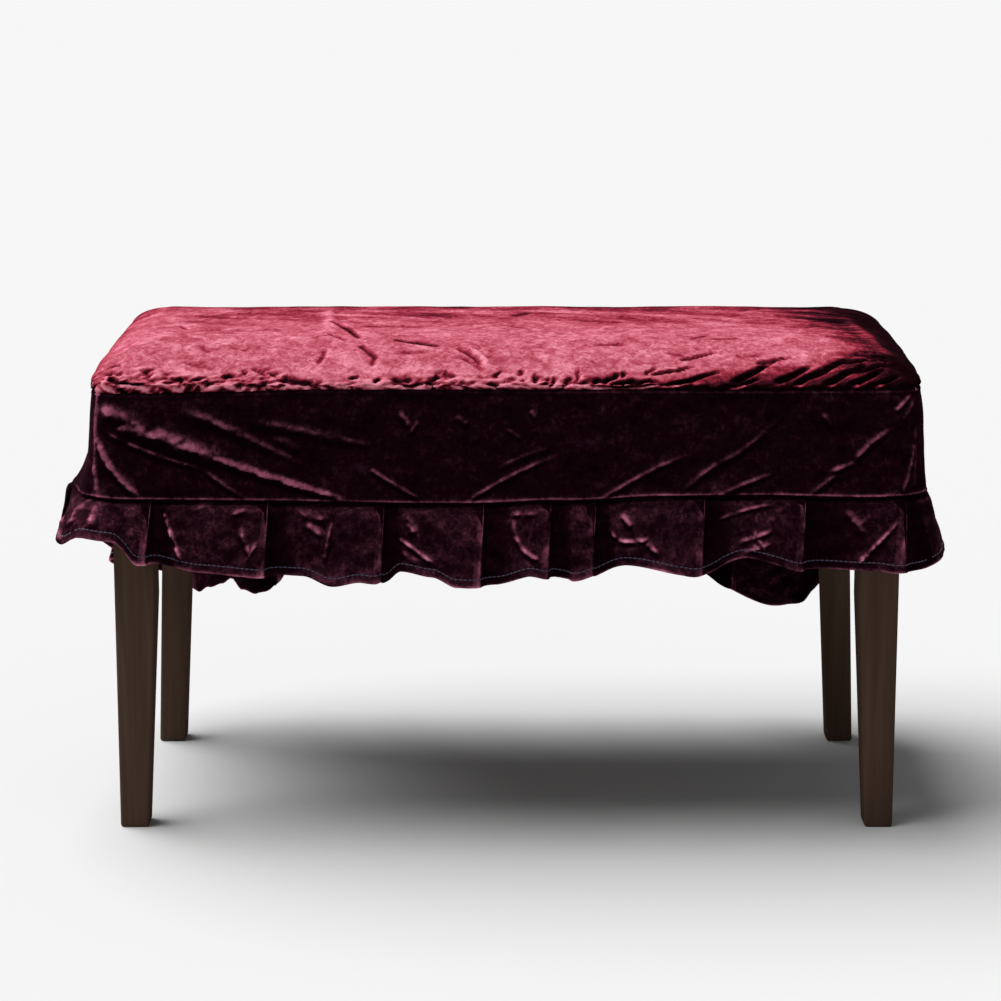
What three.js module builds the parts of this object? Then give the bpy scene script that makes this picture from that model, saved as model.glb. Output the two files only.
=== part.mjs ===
// A velvet cover with a pleated ruffle, fitted over a black four-legged piano bench.
// Millimetres, +Z up, the front towards -Y, the floor at Z = 0.
//
// The cover is sewn from a top panel, four band panels that meet in corner seams, and a ruffle of
// four pleated lengths. It is deeper than the bench, so its back hangs lower than its front.
// The bench under it is plain: a padded seat, four apron rails and four tapered legs.
import * as THREE from "three";

// Cover: outer faces of the cloth.
const COVER_WIDTH = 808;
const COVER_DEPTH = 360;
const CORNER_RADIUS = 28;
const CLOTH = 2;
const PIECE_GAP = 0.3;
const SEAM_HEIGHT = 450; // seam between top panel and band, along the front
const BAND_HEIGHT = 105;
const RUFFLE_HEIGHT = 77;
const REAR_DROP = 85; // how much lower the same seam hangs at the back
const REAR_DROP_POWER = 2.5; // over 1, it stays level along the ends and drops near the back

// Crown of the padded seat, as the top panel shows it.
const CROWN_HEIGHT = 488;
const PLATEAU_HEIGHT = 484;
const SHOULDER_FOOT = 454;
const SHOULDERS = { front: 90, right: 96, back: 90, left: 72 }; // how far the rounding reaches in
// How square the rounding is, at the middle of each side and at the corners: 2 is an ellipse, and 1
// would be a straight slope, as the front nearly is.
const SHOULDER_POWERS = { front: 1.35, right: 2, back: 2.05, left: 2.05 };
const FRONT_CORNER_POWER = 1.25;
const BACK_CORNER_POWER = 2.05;

// Bench.
const SEAT_CLEARANCE = 6; // between the cloth's inner face and the seat's sides
const SEAT_BOTTOM = 392;
// Legs: their outer faces and size at the top, and how far out to the side the foot stands.
const LEGS = {
  front: { faceX: 384.5, faceY: -160, size: 39.5, splay: 2.5 },
  back: { faceX: 366.5, faceY: 142, size: 32, splay: 16 },
};
const LEG_FOOT = 28.2;
const LEG_KNEE = 235; // the inner faces taper below this height
const LEG_CHAMFER = 2;
const RAIL_HEIGHT = 55;
const RAIL_THICKNESS = 22;
const RAIL_SETBACK = 4; // behind the legs' outer faces

const TURN_OF_SIDE = { front: 0, right: Math.PI / 2, back: Math.PI, left: -Math.PI / 2 };
const SIDE_NAMES = Object.keys(TURN_OF_SIDE);

// Soft drag folds in the band. Places are along the side from its middle, as seen from outside, and
// down from the band's upper edge.
const BAND_FOLDS = {
  front: [
    { fromAlong: -392, fromDown: 12, toAlong: -155, toDown: 104, height: 7, width: 15 },
    { fromAlong: -309, fromDown: 15, toAlong: -180, toDown: 78, height: 4, width: 13 },
    { fromAlong: -386, fromDown: 50, toAlong: -348, toDown: 104, height: 6, width: 9 },
    { fromAlong: -129, fromDown: 78, toAlong: -91, toDown: 105, height: 4, width: 11 },
    { fromAlong: -27, fromDown: 105, toAlong: 54, toDown: 67, height: 5, width: 13 },
    { fromAlong: 81, fromDown: 105, toAlong: 170, toDown: 65, height: 5, width: 13 },
    { fromAlong: 162, fromDown: 97, toAlong: 245, toDown: 50, height: 5, width: 13 },
    { fromAlong: 295, fromDown: 102, toAlong: 372, toDown: 34, height: 5, width: 14 },
  ],
  right: [
    { fromAlong: -150, fromDown: 20, toAlong: -20, toDown: 98, height: 6, width: 16 },
    { fromAlong: 40, fromDown: 100, toAlong: 150, toDown: 30, height: 5, width: 16 },
  ],
  back: [
    { fromAlong: -360, fromDown: 18, toAlong: -210, toDown: 100, height: 6, width: 18 },
    { fromAlong: -40, fromDown: 100, toAlong: 80, toDown: 40, height: 5, width: 18 },
    { fromAlong: 215, fromDown: 100, toAlong: 355, toDown: 20, height: 6, width: 18 },
  ],
  left: [
    { fromAlong: -150, fromDown: 30, toAlong: -50, toDown: 100, height: 5, width: 16 },
    { fromAlong: 0, fromDown: 98, toAlong: 135, toDown: 34, height: 4, width: 16 },
  ],
};

const BAND_FLARE_POWER = 3; // over 1, the band hangs straight down and springs out near its foot
const FOLD_EASE = 16; // folds die away over this distance to the band's two seams

// How the cloth hangs round the hem: outward flare of the band's foot and of the ruffle's hem, and
// how far the hem is lifted above its cut height.
const HANG = {
  front: [
    { along: -392, bandFlare: 8, flare: 32, lift: 44 },
    { along: -380, bandFlare: 7, flare: 30, lift: 42 },
    { along: -350, bandFlare: 4, flare: 26, lift: 18 },
    { along: -300, bandFlare: 4, flare: 20, lift: 8 },
    { along: -232, bandFlare: 4, flare: 18, lift: 4 },
    { along: -200, bandFlare: 4, flare: 18, lift: 3 },
    { along: -170, bandFlare: 4, flare: 20, lift: -6 },
    { along: -142, bandFlare: 4, flare: 22, lift: -1 },
    { along: -124, bandFlare: 4, flare: 22, lift: -2 },
    { along: -106, bandFlare: 4, flare: 22, lift: 8 },
    { along: -74, bandFlare: 4, flare: 23, lift: 4 },
    { along: -48, bandFlare: 4, flare: 25, lift: -5 },
    { along: -14, bandFlare: 4, flare: 22, lift: -5 },
    { along: 24, bandFlare: 4, flare: 20, lift: 6 },
    { along: 63, bandFlare: 4, flare: 22, lift: 0 },
    { along: 115, bandFlare: 4, flare: 16, lift: 13 },
    { along: 182, bandFlare: 4, flare: 22, lift: 6 },
    { along: 230, bandFlare: 4, flare: 14, lift: 21 },
    { along: 290, bandFlare: 4, flare: 20, lift: 11 },
    { along: 350, bandFlare: 4, flare: 20, lift: 10 },
    { along: 384, bandFlare: 4, flare: 20, lift: 8 },
  ],
  right: [
    { along: -150, bandFlare: 6, flare: 22, lift: 12 },
    { along: 0, bandFlare: 6, flare: 22, lift: 0 },
    { along: 150, bandFlare: 6, flare: 24, lift: 4 },
  ],
  back: [
    { along: -372, bandFlare: 6, flare: 26, lift: 6 },
    { along: -351, bandFlare: 6, flare: 22, lift: -3 },
    { along: -338, bandFlare: 5, flare: 20, lift: -9 },
    { along: -318, bandFlare: 5, flare: 18, lift: -4 },
    { along: -280, bandFlare: 5, flare: 18, lift: -3 },
    { along: -247, bandFlare: 5, flare: 18, lift: -5 },
    { along: -222, bandFlare: 5, flare: 18, lift: -2 },
    { along: -120, bandFlare: 4, flare: 20, lift: 4 },
    { along: 0, bandFlare: 5, flare: 16, lift: 0 },
    { along: 140, bandFlare: 4, flare: 20, lift: 5 },
    { along: 225, bandFlare: 4, flare: 18, lift: 3 },
    { along: 246, bandFlare: 4, flare: 18, lift: -3 },
    { along: 260, bandFlare: 5, flare: 18, lift: -13 },
    { along: 273, bandFlare: 5, flare: 18, lift: -14 },
    { along: 296, bandFlare: 5, flare: 18, lift: 2 },
    { along: 312, bandFlare: 5, flare: 18, lift: 9 },
    { along: 328, bandFlare: 5, flare: 18, lift: 2 },
    { along: 343, bandFlare: 5, flare: 19, lift: -5 },
    { along: 372, bandFlare: 6, flare: 26, lift: 6 },
  ],
  left: [
    { along: -150, bandFlare: 3, flare: 16, lift: 4 },
    { along: 0, bandFlare: 6, flare: 14, lift: 10 },
    { along: 112, bandFlare: 27, flare: 33, lift: 26 },
    { along: 166, bandFlare: 13, flare: 34, lift: 32 },
  ],
};

// Knife pleats of the ruffle: where the fold's edge lies along the side, and how far it stands out
// over the cloth that comes from under it, at the hem.
const PLEATS = {
  front: [
    { along: -343, depth: 13 },
    { along: -230, depth: 15 },
    { along: -118, depth: 11 },
    { along: -22, depth: 13 },
    { along: 43, depth: 16 },
    { along: 86, depth: 9 },
    { along: 191, depth: 14 },
    { along: 288, depth: 15 },
    { along: 383, depth: 10 },
  ],
  right: [
    { along: -88, depth: 14 },
    { along: 12, depth: 12 },
    { along: 118, depth: 15 },
  ],
  back: [
    { along: -352, depth: 13 },
    { along: -250, depth: 15 },
    { along: -148, depth: 12 },
    { along: -52, depth: 14 },
    { along: 61, depth: 13 },
    { along: 160, depth: 15 },
    { along: 262, depth: 16 },
    { along: 358, depth: 12 },
  ],
  left: [
    { along: -102, depth: 13 },
    { along: 4, depth: 15 },
    { along: 109, depth: 13 },
  ],
};
const PLEAT_AT_SEAM = 0.12; // share of a pleat's depth that is left where it is sewn flat
const PLEAT_RETURN = 5; // width of the step under a fold's edge
const PLEAT_RISE_POWER = 0.8; // under 1, the cloth between two edges bellies out
const FLARE_POWER = 0.7; // under 1, the ruffle springs out from its seam and then hangs
// Where between two fold edges the ruffle has its columns of points, as shares of the way.
const PLEAT_COLUMNS = [0.12, 0.3, 0.5, 0.7, 0.86];
const PLEAT_COLUMN_SPACING = 5; // those nearer than this to a place that the seam needs are left out

// Number of straight stretches that a sewn edge is made of, so that sewn pieces share their points.
const STRETCHES = { front: 24, back: 24, right: 10, left: 10 };
const STRETCHES_TO_CORNER = 6; // from the end of a side's straight run to the middle of its corner
const TOP_SHOULDER_STEPS = 4; // the rest of those are steps down the top panel's wall
const FRONT_REFINE = 2; // the front band has twice as many columns, for its folds
const BAND_ROWS = { front: 7, back: 4, right: 4, left: 4 };
const RUFFLE_ROWS = 4;
const SEAT_GRID = { plateauColumns: 8, plateauRows: 4, shoulderSteps: 4, wallSteps: 0 };

// Slack corners at the back, where the overlong cloth droops below the rest.
const SAGS = [
  { side: "back", along: -300, depth: 48, reach: 108 },
  { side: "back", along: 318, depth: 38, reach: 105 },
];

const smooth = (t) => {
  const k = Math.min(1, Math.max(0, t));
  return k * k * (3 - 2 * k);
};
const steps = (from, to, count) =>
  Array.from({ length: count + 1 }, (_, i) => from + ((to - from) * i) / count);

// One side of the cover's rounded outline. Its length runs from the middle of one corner's arc to
// the middle of the next, anticlockwise seen from above.
function makeSide(name) {
  const isLong = name === "front" || name === "back";
  const halfLength = (isLong ? COVER_WIDTH : COVER_DEPTH) / 2;
  const distance = (isLong ? COVER_DEPTH : COVER_WIDTH) / 2;
  const halfStraight = halfLength - CORNER_RADIUS;
  const half = halfStraight + (CORNER_RADIUS * Math.PI) / 4;
  return { name, turn: TURN_OF_SIDE[name], distance, halfStraight, half };
}
const SIDES = Object.fromEntries(SIDE_NAMES.map((name) => [name, makeSide(name)]));

// The outline's point and outward direction at a place along a side.
function outlineAt(side, along) {
  const bend = Math.max(0, Math.abs(along) - side.halfStraight) / CORNER_RADIUS;
  const hand = Math.sign(along);
  const reach = Math.min(Math.abs(along), side.halfStraight) + CORNER_RADIUS * Math.sin(bend);
  const inward = CORNER_RADIUS * (1 - Math.cos(bend));
  const turned = (x, y) => new THREE.Vector2(x, y).rotateAround(new THREE.Vector2(), side.turn);
  return {
    point: turned(hand * reach, inward - side.distance),
    outward: turned(hand * Math.sin(bend), -Math.cos(bend)),
  };
}

// Distance round the whole outline, from the start of the front.
function roundPlace(name, along) {
  let start = 0;
  for (const other of SIDE_NAMES) {
    if (other === name) return start + SIDES[name].half + along;
    start += 2 * SIDES[other].half;
  }
  throw new Error(`no side named ${name}`);
}
const ROUND = SIDE_NAMES.reduce((sum, name) => sum + 2 * SIDES[name].half, 0);
const HANG_ROWS = SIDE_NAMES.flatMap((name) =>
  HANG[name].map((row) => ({ ...row, place: roundPlace(name, row.along) })),
);

// The hang table between its rows, eased, and closed on itself round the outline.
function hangAt(side, along) {
  const place = roundPlace(side.name, along);
  const after = HANG_ROWS.findIndex((row) => row.place > place);
  const next = HANG_ROWS[after < 0 ? 0 : after];
  const last = HANG_ROWS.at(after < 0 ? -1 : after - 1);
  const apart = (a, b) => (b - a + ROUND) % ROUND;
  const share = smooth(apart(last.place, place) / apart(last.place, next.place));
  const mix = (key) => last[key] + (next[key] - last[key]) * share;
  return { bandFlare: mix("bandFlare"), flare: mix("flare"), lift: mix("lift") };
}

// The places along a side that all pieces sewn there share.
function sewnPlaces(side, refine = 1) {
  const straight = steps(-side.halfStraight, side.halfStraight, STRETCHES[side.name] * refine);
  const corner = steps(side.halfStraight, side.half, STRETCHES_TO_CORNER).slice(1);
  return [...corner.map((along) => -along).reverse(), ...straight, ...corner];
}

// Height of the seam between top panel and band, which falls towards the back and droops at the sags.
function seamCurve(side, along) {
  const { point } = outlineAt(side, along);
  const back = smooth((point.y + COVER_DEPTH / 2) / COVER_DEPTH) ** REAR_DROP_POWER;
  const droop = SAGS.filter((sag) => sag.side === side.name).map(
    (sag) => sag.depth * smooth(1 - Math.abs(along - sag.along) / sag.reach),
  );
  return SEAM_HEIGHT - REAR_DROP * back - droop.reduce((sum, d) => sum + d, 0);
}

// The same, straight between the sewn places.
function seamHeight(side, along) {
  const places = sewnPlaces(side);
  const after = THREE.MathUtils.clamp(places.findIndex((place) => place > along), 1, places.length - 1);
  const next = along >= places.at(-1) ? places.length - 1 : after;
  const share = THREE.MathUtils.inverseLerp(places[next - 1], places[next], along);
  return THREE.MathUtils.lerp(seamCurve(side, places[next - 1]), seamCurve(side, places[next]), share);
}

// A thin closed sheet: a segmented box whose two large faces are placed point by point.
function sheetGeometry(columns, rows, outerPoint, innerPoint) {
  const geometry = new THREE.BoxGeometry(1, 1, 1, columns.length - 1, rows.length - 1, 1);
  const position = geometry.getAttribute("position");
  for (let k = 0; k < position.count; k++) {
    const column = Math.round((position.getX(k) + 0.5) * (columns.length - 1));
    const row = Math.round((0.5 - position.getY(k)) * (rows.length - 1));
    const place = position.getZ(k) > 0 ? outerPoint : innerPoint;
    const { x, y, z } = place(column, row);
    position.setXYZ(k, x, y, z);
  }
  geometry.computeVertexNormals();
  return geometry;
}

// A hanging strip of one side, from its outward offset and height at each place. Its inner face is
// the outer one moved in by the cloth's thickness, square to the strip's own curve.
function hangingStrip(side, columns, rows, offsetAt, heightAt) {
  const outer = (column, row) => {
    const { point, outward } = outlineAt(side, columns[column]);
    const plan = point.addScaledVector(outward, offsetAt(columns[column], rows[row]));
    return new THREE.Vector3(plan.x, plan.y, heightAt(columns[column], rows[row]));
  };
  const inner = (column, row) => {
    const before = outer(Math.max(column - 1, 0), row);
    const after = outer(Math.min(column + 1, columns.length - 1), row);
    const inward = new THREE.Vector3(before.y - after.y, after.x - before.x, 0).normalize();
    return outer(column, row).addScaledVector(inward, CLOTH);
  };
  return sheetGeometry(columns, rows, outer, inner);
}

// Height of the soft ridges that cross a band at one place.
function foldHeight(folds, along, down) {
  let height = 0;
  for (const fold of folds) {
    const line = new THREE.Line3(
      new THREE.Vector3(fold.fromAlong, fold.fromDown, 0),
      new THREE.Vector3(fold.toAlong, fold.toDown, 0),
    );
    const place = new THREE.Vector3(along, down, 0);
    const near = line.closestPointToPoint(place, true, new THREE.Vector3());
    height = Math.max(height, fold.height * Math.exp(-((near.distanceTo(place) / fold.width) ** 2)));
  }
  return height;
}

// The same list of places, with its two ends moved in to leave a gap at the corner seams.
function partAtCorners(places) {
  return places.map((along, i) => {
    if (i === 0) return along + PIECE_GAP / 2;
    return i === places.length - 1 ? along - PIECE_GAP / 2 : along;
  });
}

function bandGeometry(side) {
  const columns = partAtCorners(sewnPlaces(side, side.name === "front" ? FRONT_REFINE : 1));
  const rows = steps(0, BAND_HEIGHT, BAND_ROWS[side.name]);
  const offsetAt = (along, down) => {
    const share = down / BAND_HEIGHT;
    const clearOfSeams = smooth(down / FOLD_EASE) * smooth((BAND_HEIGHT - down) / FOLD_EASE);
    const fold = foldHeight(BAND_FOLDS[side.name], along, down) * clearOfSeams;
    return hangAt(side, along).bandFlare * share ** BAND_FLARE_POWER + fold;
  };
  const heightAt = (along, down) => seamHeight(side, along) - PIECE_GAP - down;
  return hangingStrip(side, columns, rows, offsetAt, heightAt);
}

// The fold edges on both sides of a place, with those of the neighbouring sides past the corners.
function pleatEdges(side) {
  const own = PLEATS[side.name];
  const turnTo = (step) => SIDES[SIDE_NAMES[(SIDE_NAMES.indexOf(side.name) + step) % SIDE_NAMES.length]];
  const [next, previous] = [turnTo(1), turnTo(SIDE_NAMES.length - 1)];
  const first = PLEATS[next.name][0];
  const last = PLEATS[previous.name].at(-1);
  return [
    { ...last, along: last.along - previous.half - side.half },
    ...own,
    { ...first, along: first.along + next.half + side.half },
  ];
}

// How far a pleat stands out at a place: cloth rises slowly to each fold's edge and steps back.
function pleatOffset(edges, along) {
  const index = edges.findIndex((edge) => edge.along >= along);
  const [from, to] = [edges[index - 1], edges[index]];
  const start = from.along + PLEAT_RETURN;
  if (along < start) return from.depth * (1 - (along - from.along) / PLEAT_RETURN);
  return to.depth * smooth((along - start) / (to.along - start)) ** PLEAT_RISE_POWER;
}

// Places of the ruffle's columns: both ends of each pleat's step, the sewn places, and some between.
function ruffleColumns(side, edges) {
  const isApart = (places, least) => (along) => places.every((other) => Math.abs(other - along) > least);
  const folds = edges.flatMap((edge) => [edge.along, edge.along + PLEAT_RETURN]);
  const sewn = sewnPlaces(side).filter(isApart(folds, PIECE_GAP));
  const kept = [...folds.filter((along) => Math.abs(along) < side.half - 1), ...sewn];
  const between = edges.slice(1).flatMap((edge, i) => {
    const foot = edges[i].along + PLEAT_RETURN;
    return PLEAT_COLUMNS.map((share) => THREE.MathUtils.lerp(foot, edge.along, share));
  });
  const extra = between.filter(isApart(kept, PLEAT_COLUMN_SPACING));
  return [...kept, ...extra.filter((along) => Math.abs(along) < side.half)].sort((a, b) => a - b);
}

function ruffleGeometry(side) {
  const edges = pleatEdges(side);
  const columns = partAtCorners(ruffleColumns(side, edges));
  const rows = steps(0, 1, RUFFLE_ROWS);
  const offsetAt = (along, share) => {
    const { bandFlare, flare } = hangAt(side, along);
    const pleat = pleatOffset(edges, along) * (PLEAT_AT_SEAM + (1 - PLEAT_AT_SEAM) * share);
    return bandFlare + (flare - bandFlare) * share ** FLARE_POWER + pleat - CLOTH;
  };
  const heightAt = (along, share) => {
    const top = seamHeight(side, along) - BAND_HEIGHT - 2 * PIECE_GAP;
    return top - (RUFFLE_HEIGHT - hangAt(side, along).lift) * share;
  };
  return hangingStrip(side, columns, rows, offsetAt, heightAt);
}

// A crowned top with rounded shoulders, as a grid of points: a flat-ish plateau, then rings that
// follow a quarter of a superellipse down to the outline, then rings down a wall.
function crownedTop(form) {
  const { inset, sink, plateauColumns, plateauRows, shoulderSteps, wallSteps, wallFoot, powerAt } = form;
  const rings = shoulderSteps + wallSteps;
  const columnCount = plateauColumns + 2 * rings;
  const rowCount = plateauRows + 2 * rings;
  const crown = CROWN_HEIGHT - PLATEAU_HEIGHT;
  const plateauX = [SHOULDERS.left - COVER_WIDTH / 2, COVER_WIDTH / 2 - SHOULDERS.right];
  const plateauY = [SHOULDERS.front - COVER_DEPTH / 2, COVER_DEPTH / 2 - SHOULDERS.back];

  // Index to plateau place, from -1 to 1, and to the number of rings past the plateau.
  const split = (index, count, plateau) => {
    const place = THREE.MathUtils.clamp((index - rings) / plateau, 0, 1) * 2 - 1;
    return { place, ring: Math.max(rings - index, index - (count - rings), 0), hand: Math.sign(place) };
  };
  // The place on the outline that a grid line or a corner's grid point leads to.
  const outlinePlace = (across, deep) => {
    if (deep.ring > across.ring) {
      const side = deep.hand < 0 ? SIDES.front : SIDES.back;
      return cornerPlace(side, across, deep, deep.hand < 0 ? 1 : -1);
    }
    const side = across.hand > 0 ? SIDES.right : SIDES.left;
    return cornerPlace(side, deep, across, across.hand > 0 ? 1 : -1);
  };
  const cornerPlace = (side, along, out, direction) => {
    const turned = along.ring / out.ring; // how far round the corner, from 0 to 1 at its middle
    const arc = turned * (side.half - side.halfStraight);
    const atFront = side === SIDES.front || (side !== SIDES.back && along.hand < 0);
    const place = direction * (along.place * side.halfStraight + along.hand * arc);
    const toCorner = (Math.abs(along.place) + turned) / 2; // from the side's middle to the corner's
    return { side, toCorner, atFront, along: place };
  };

  const pointAt = (column, row) => {
    const across = split(column, columnCount, plateauColumns);
    const deep = split(row, rowCount, plateauRows);
    const plateau = new THREE.Vector2(
      THREE.MathUtils.mapLinear(across.place, -1, 1, ...plateauX),
      THREE.MathUtils.mapLinear(deep.place, -1, 1, ...plateauY),
    );
    const bulge = crown * (1 - across.place ** 2) * (1 - deep.place ** 2);
    const ring = Math.max(across.ring, deep.ring);
    if (ring === 0) return new THREE.Vector3(plateau.x, plateau.y, PLATEAU_HEIGHT + bulge - sink);
    const { side, along, toCorner, atFront } = outlinePlace(across, deep);
    const { point, outward } = outlineAt(side, along);
    const edge = point.addScaledVector(outward, -inset);
    const turn = (Math.min(ring / shoulderSteps, 1) * Math.PI) / 2;
    const power = 2 / powerAt(side, toCorner, atFront);
    const plan = plateau.lerp(edge, Math.sin(turn) ** power);
    const drop = 1 - Math.max(0, Math.cos(turn)) ** power;
    const shoulder = PLATEAU_HEIGHT - sink + (SHOULDER_FOOT - PLATEAU_HEIGHT) * drop;
    const fall = Math.max(0, ring - shoulderSteps) / Math.max(1, wallSteps);
    return new THREE.Vector3(plan.x, plan.y, shoulder + (wallFoot(side, along) - shoulder) * fall);
  };
  // Outward direction of the outline at a grid point of the outermost ring, or null at any other.
  const rimOutward = (column, row) => {
    const across = split(column, columnCount, plateauColumns);
    const deep = split(row, rowCount, plateauRows);
    if (Math.max(across.ring, deep.ring) < rings) return null;
    const { side, along } = outlinePlace(across, deep);
    const { outward } = outlineAt(side, along);
    return new THREE.Vector3(outward.x, outward.y, 0);
  };
  return { pointAt, rimOutward, columns: steps(0, 1, columnCount), rows: steps(0, 1, rowCount) };
}

function topPanelGeometry() {
  const { pointAt, rimOutward, columns, rows } = crownedTop({
    inset: 0,
    sink: 0,
    plateauColumns: STRETCHES.front,
    plateauRows: STRETCHES.left,
    shoulderSteps: TOP_SHOULDER_STEPS,
    wallSteps: STRETCHES_TO_CORNER - TOP_SHOULDER_STEPS,
    wallFoot: seamHeight,
    powerAt: (side, toCorner, atFront) => {
      const atCorner = atFront ? FRONT_CORNER_POWER : BACK_CORNER_POWER;
      return THREE.MathUtils.lerp(SHOULDER_POWERS[side.name], atCorner, smooth(toCorner));
    },
  });
  // Rows of the sheet run from the back to the front, so that its outer face points up.
  const outer = (column, row) => pointAt(column, rows.length - 1 - row);
  const inner = (column, row) => {
    const rim = rimOutward(column, rows.length - 1 - row);
    if (rim) return outer(column, row).addScaledVector(rim, -CLOTH);
    const across = outer(column + 1, row).sub(outer(column - 1, row));
    const forward = outer(column, row + 1).sub(outer(column, row - 1));
    return outer(column, row).addScaledVector(forward.cross(across).normalize(), -CLOTH);
  };
  return sheetGeometry(columns, rows, outer, inner);
}

function seatGeometry() {
  const { pointAt, columns, rows } = crownedTop({
    inset: CLOTH + SEAT_CLEARANCE,
    sink: CLOTH + PIECE_GAP,
    ...SEAT_GRID,
    wallFoot: () => SHOULDER_FOOT,
    powerAt: () => FRONT_CORNER_POWER,
  });
  const top = (column, row) => pointAt(column, rows.length - 1 - row);
  const bottom = (column, row) => top(column, row).setZ(SEAT_BOTTOM);
  return sheetGeometry(columns, rows, top, bottom);
}

// A square leg with eased edges. Its inner faces taper, and the whole leg leans out to the side.
function legGeometry(handX, handY, size, splay) {
  const edge = size / 2;
  const inner = edge - LEG_CHAMFER;
  const section = new THREE.Shape([
    ...[[edge, -inner], [edge, inner], [inner, edge], [-inner, edge]],
    ...[[-edge, inner], [-edge, -inner], [-inner, -edge], [inner, -edge]],
  ].map(([x, y]) => new THREE.Vector2(x, y)));
  const height = SEAT_BOTTOM - PIECE_GAP;
  const geometry = new THREE.ExtrudeGeometry(section, { depth: 1, steps: 2, bevelEnabled: false });
  const position = geometry.getAttribute("position");
  const levels = [0, LEG_KNEE, height];
  for (let k = 0; k < position.count; k++) {
    const z = levels[Math.round(position.getZ(k) * 2)];
    const share = z === 0 ? LEG_FOOT / size : 1;
    const taper = (value, hand) => hand * edge + (value - hand * edge) * share;
    const lean = handX * splay * (1 - z / height);
    position.setXYZ(k, taper(position.getX(k), handX) + lean, taper(position.getY(k), handY), z);
  }
  geometry.computeVertexNormals();
  return geometry;
}

const velvet = new THREE.MeshStandardMaterial({ color: 0x5c1a2b, roughness: 0.9, metalness: 0 });
const lacquer = new THREE.MeshStandardMaterial({ color: 0x2a221e, roughness: 0.25, metalness: 0 });

function namedMesh(name, geometry, material, x = 0, y = 0, z = 0) {
  const mesh = new THREE.Mesh(geometry, material);
  mesh.name = name;
  mesh.position.set(x, y, z);
  return mesh;
}

function makeCover() {
  const cover = new THREE.Group();
  cover.add(namedMesh("cover_top", topPanelGeometry(), velvet));
  for (const side of Object.values(SIDES)) {
    cover.add(namedMesh(`band_${side.name}`, bandGeometry(side), velvet));
    cover.add(namedMesh(`ruffle_${side.name}`, ruffleGeometry(side), velvet));
  }
  return cover;
}

function makeBench() {
  const bench = new THREE.Group();
  bench.add(namedMesh("bench_seat", seatGeometry(), lacquer));
  for (const [row, { faceX, faceY, size, splay }] of Object.entries(LEGS)) {
    const handY = Math.sign(faceY);
    for (const [end, handX] of [["left", -1], ["right", 1]]) {
      const leg = legGeometry(handX, handY, size, splay);
      const x = handX * (faceX - size / 2);
      bench.add(namedMesh(`leg_${row}_${end}`, leg, lacquer, x, faceY - (handY * size) / 2));
    }
  }
  const { front, back } = LEGS;
  const railZ = SEAT_BOTTOM - PIECE_GAP - RAIL_HEIGHT / 2;
  const setback = RAIL_SETBACK + RAIL_THICKNESS / 2;
  const longRail = ({ faceX, size }) =>
    new THREE.BoxGeometry(2 * (faceX - size - PIECE_GAP), RAIL_THICKNESS, RAIL_HEIGHT);
  const endStart = front.faceY + front.size + PIECE_GAP;
  const endStop = back.faceY - back.size - PIECE_GAP;
  const endRail = () => new THREE.BoxGeometry(RAIL_THICKNESS, endStop - endStart, RAIL_HEIGHT);
  const endX = back.faceX - setback;
  const endY = (endStart + endStop) / 2;
  bench.add(namedMesh("rail_front", longRail(front), lacquer, 0, front.faceY + setback, railZ));
  bench.add(namedMesh("rail_back", longRail(back), lacquer, 0, back.faceY - setback, railZ));
  bench.add(namedMesh("rail_left", endRail(), lacquer, -endX, endY, railZ));
  bench.add(namedMesh("rail_right", endRail(), lacquer, endX, endY, railZ));
  return bench;
}

// The origin is on the floor, at the middle of the whole part's box.
const part = new THREE.Group();
part.name = "piano_bench_with_cover";
part.add(makeBench(), makeCover());
const box = new THREE.Box3().setFromObject(part, true);
const middle = box.getCenter(new THREE.Vector3());
part.position.set(-middle.x, -middle.y, 0);

export default part;
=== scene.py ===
"""A wine-red velvet cover with a pleated ruffle, fitted over a black piano bench.

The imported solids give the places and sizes. The cover's cloth is built again as thin sheets on the
solids' folds, with creases, gathers, knife pleats and a stitched hem, and the legs get rounded edges.
Cloth is worked out in millimetres from the cover's middle on the floor, with the front towards -Y.
"""

import logging
import math
from dataclasses import dataclass, field
from enum import Enum, IntEnum
from functools import reduce

import bmesh
import bpy
import numpy as np
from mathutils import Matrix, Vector, noise


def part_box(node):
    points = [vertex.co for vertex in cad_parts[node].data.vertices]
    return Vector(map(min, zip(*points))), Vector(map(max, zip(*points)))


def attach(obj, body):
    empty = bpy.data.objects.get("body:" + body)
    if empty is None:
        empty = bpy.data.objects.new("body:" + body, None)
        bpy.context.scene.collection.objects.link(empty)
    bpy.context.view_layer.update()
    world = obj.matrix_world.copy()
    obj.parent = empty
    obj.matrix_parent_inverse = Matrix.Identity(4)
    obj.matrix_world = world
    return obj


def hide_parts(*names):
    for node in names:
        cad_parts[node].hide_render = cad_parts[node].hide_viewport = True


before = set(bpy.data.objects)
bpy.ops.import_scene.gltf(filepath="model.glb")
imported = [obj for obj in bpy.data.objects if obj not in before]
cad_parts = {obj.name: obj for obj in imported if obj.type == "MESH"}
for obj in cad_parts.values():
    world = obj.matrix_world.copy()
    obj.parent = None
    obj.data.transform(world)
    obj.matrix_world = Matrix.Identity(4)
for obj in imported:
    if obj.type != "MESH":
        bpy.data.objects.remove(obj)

LOG = logging.getLogger("bench_cover")
MM = 0.001
BODY = "root"
# Name of the attribute that carries each point's painted light level: painted shade up to painted highlight.
PAINTED_LIGHT = "painted_light"
TINY = 1e-9

# A sewn edge: the roll's distance from it and half width, and how far the turned edge and the calm
# beside it reach. Distances that differ by less than a margin are to the same edge.
SEAM_ROLL = (2.8, 1.4)
SEAM_TURN = 2.2
SEAM_CALM = 5.0
EDGE_MARGIN = 1.0

# Painted highlight on cloth that hangs: how much lighter a ridge is painted, to a millimetre, and how much
# where a fold turns upwards.
RIDGE_LIGHT = 0.035
TURN_LIGHT = 1.2

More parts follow.
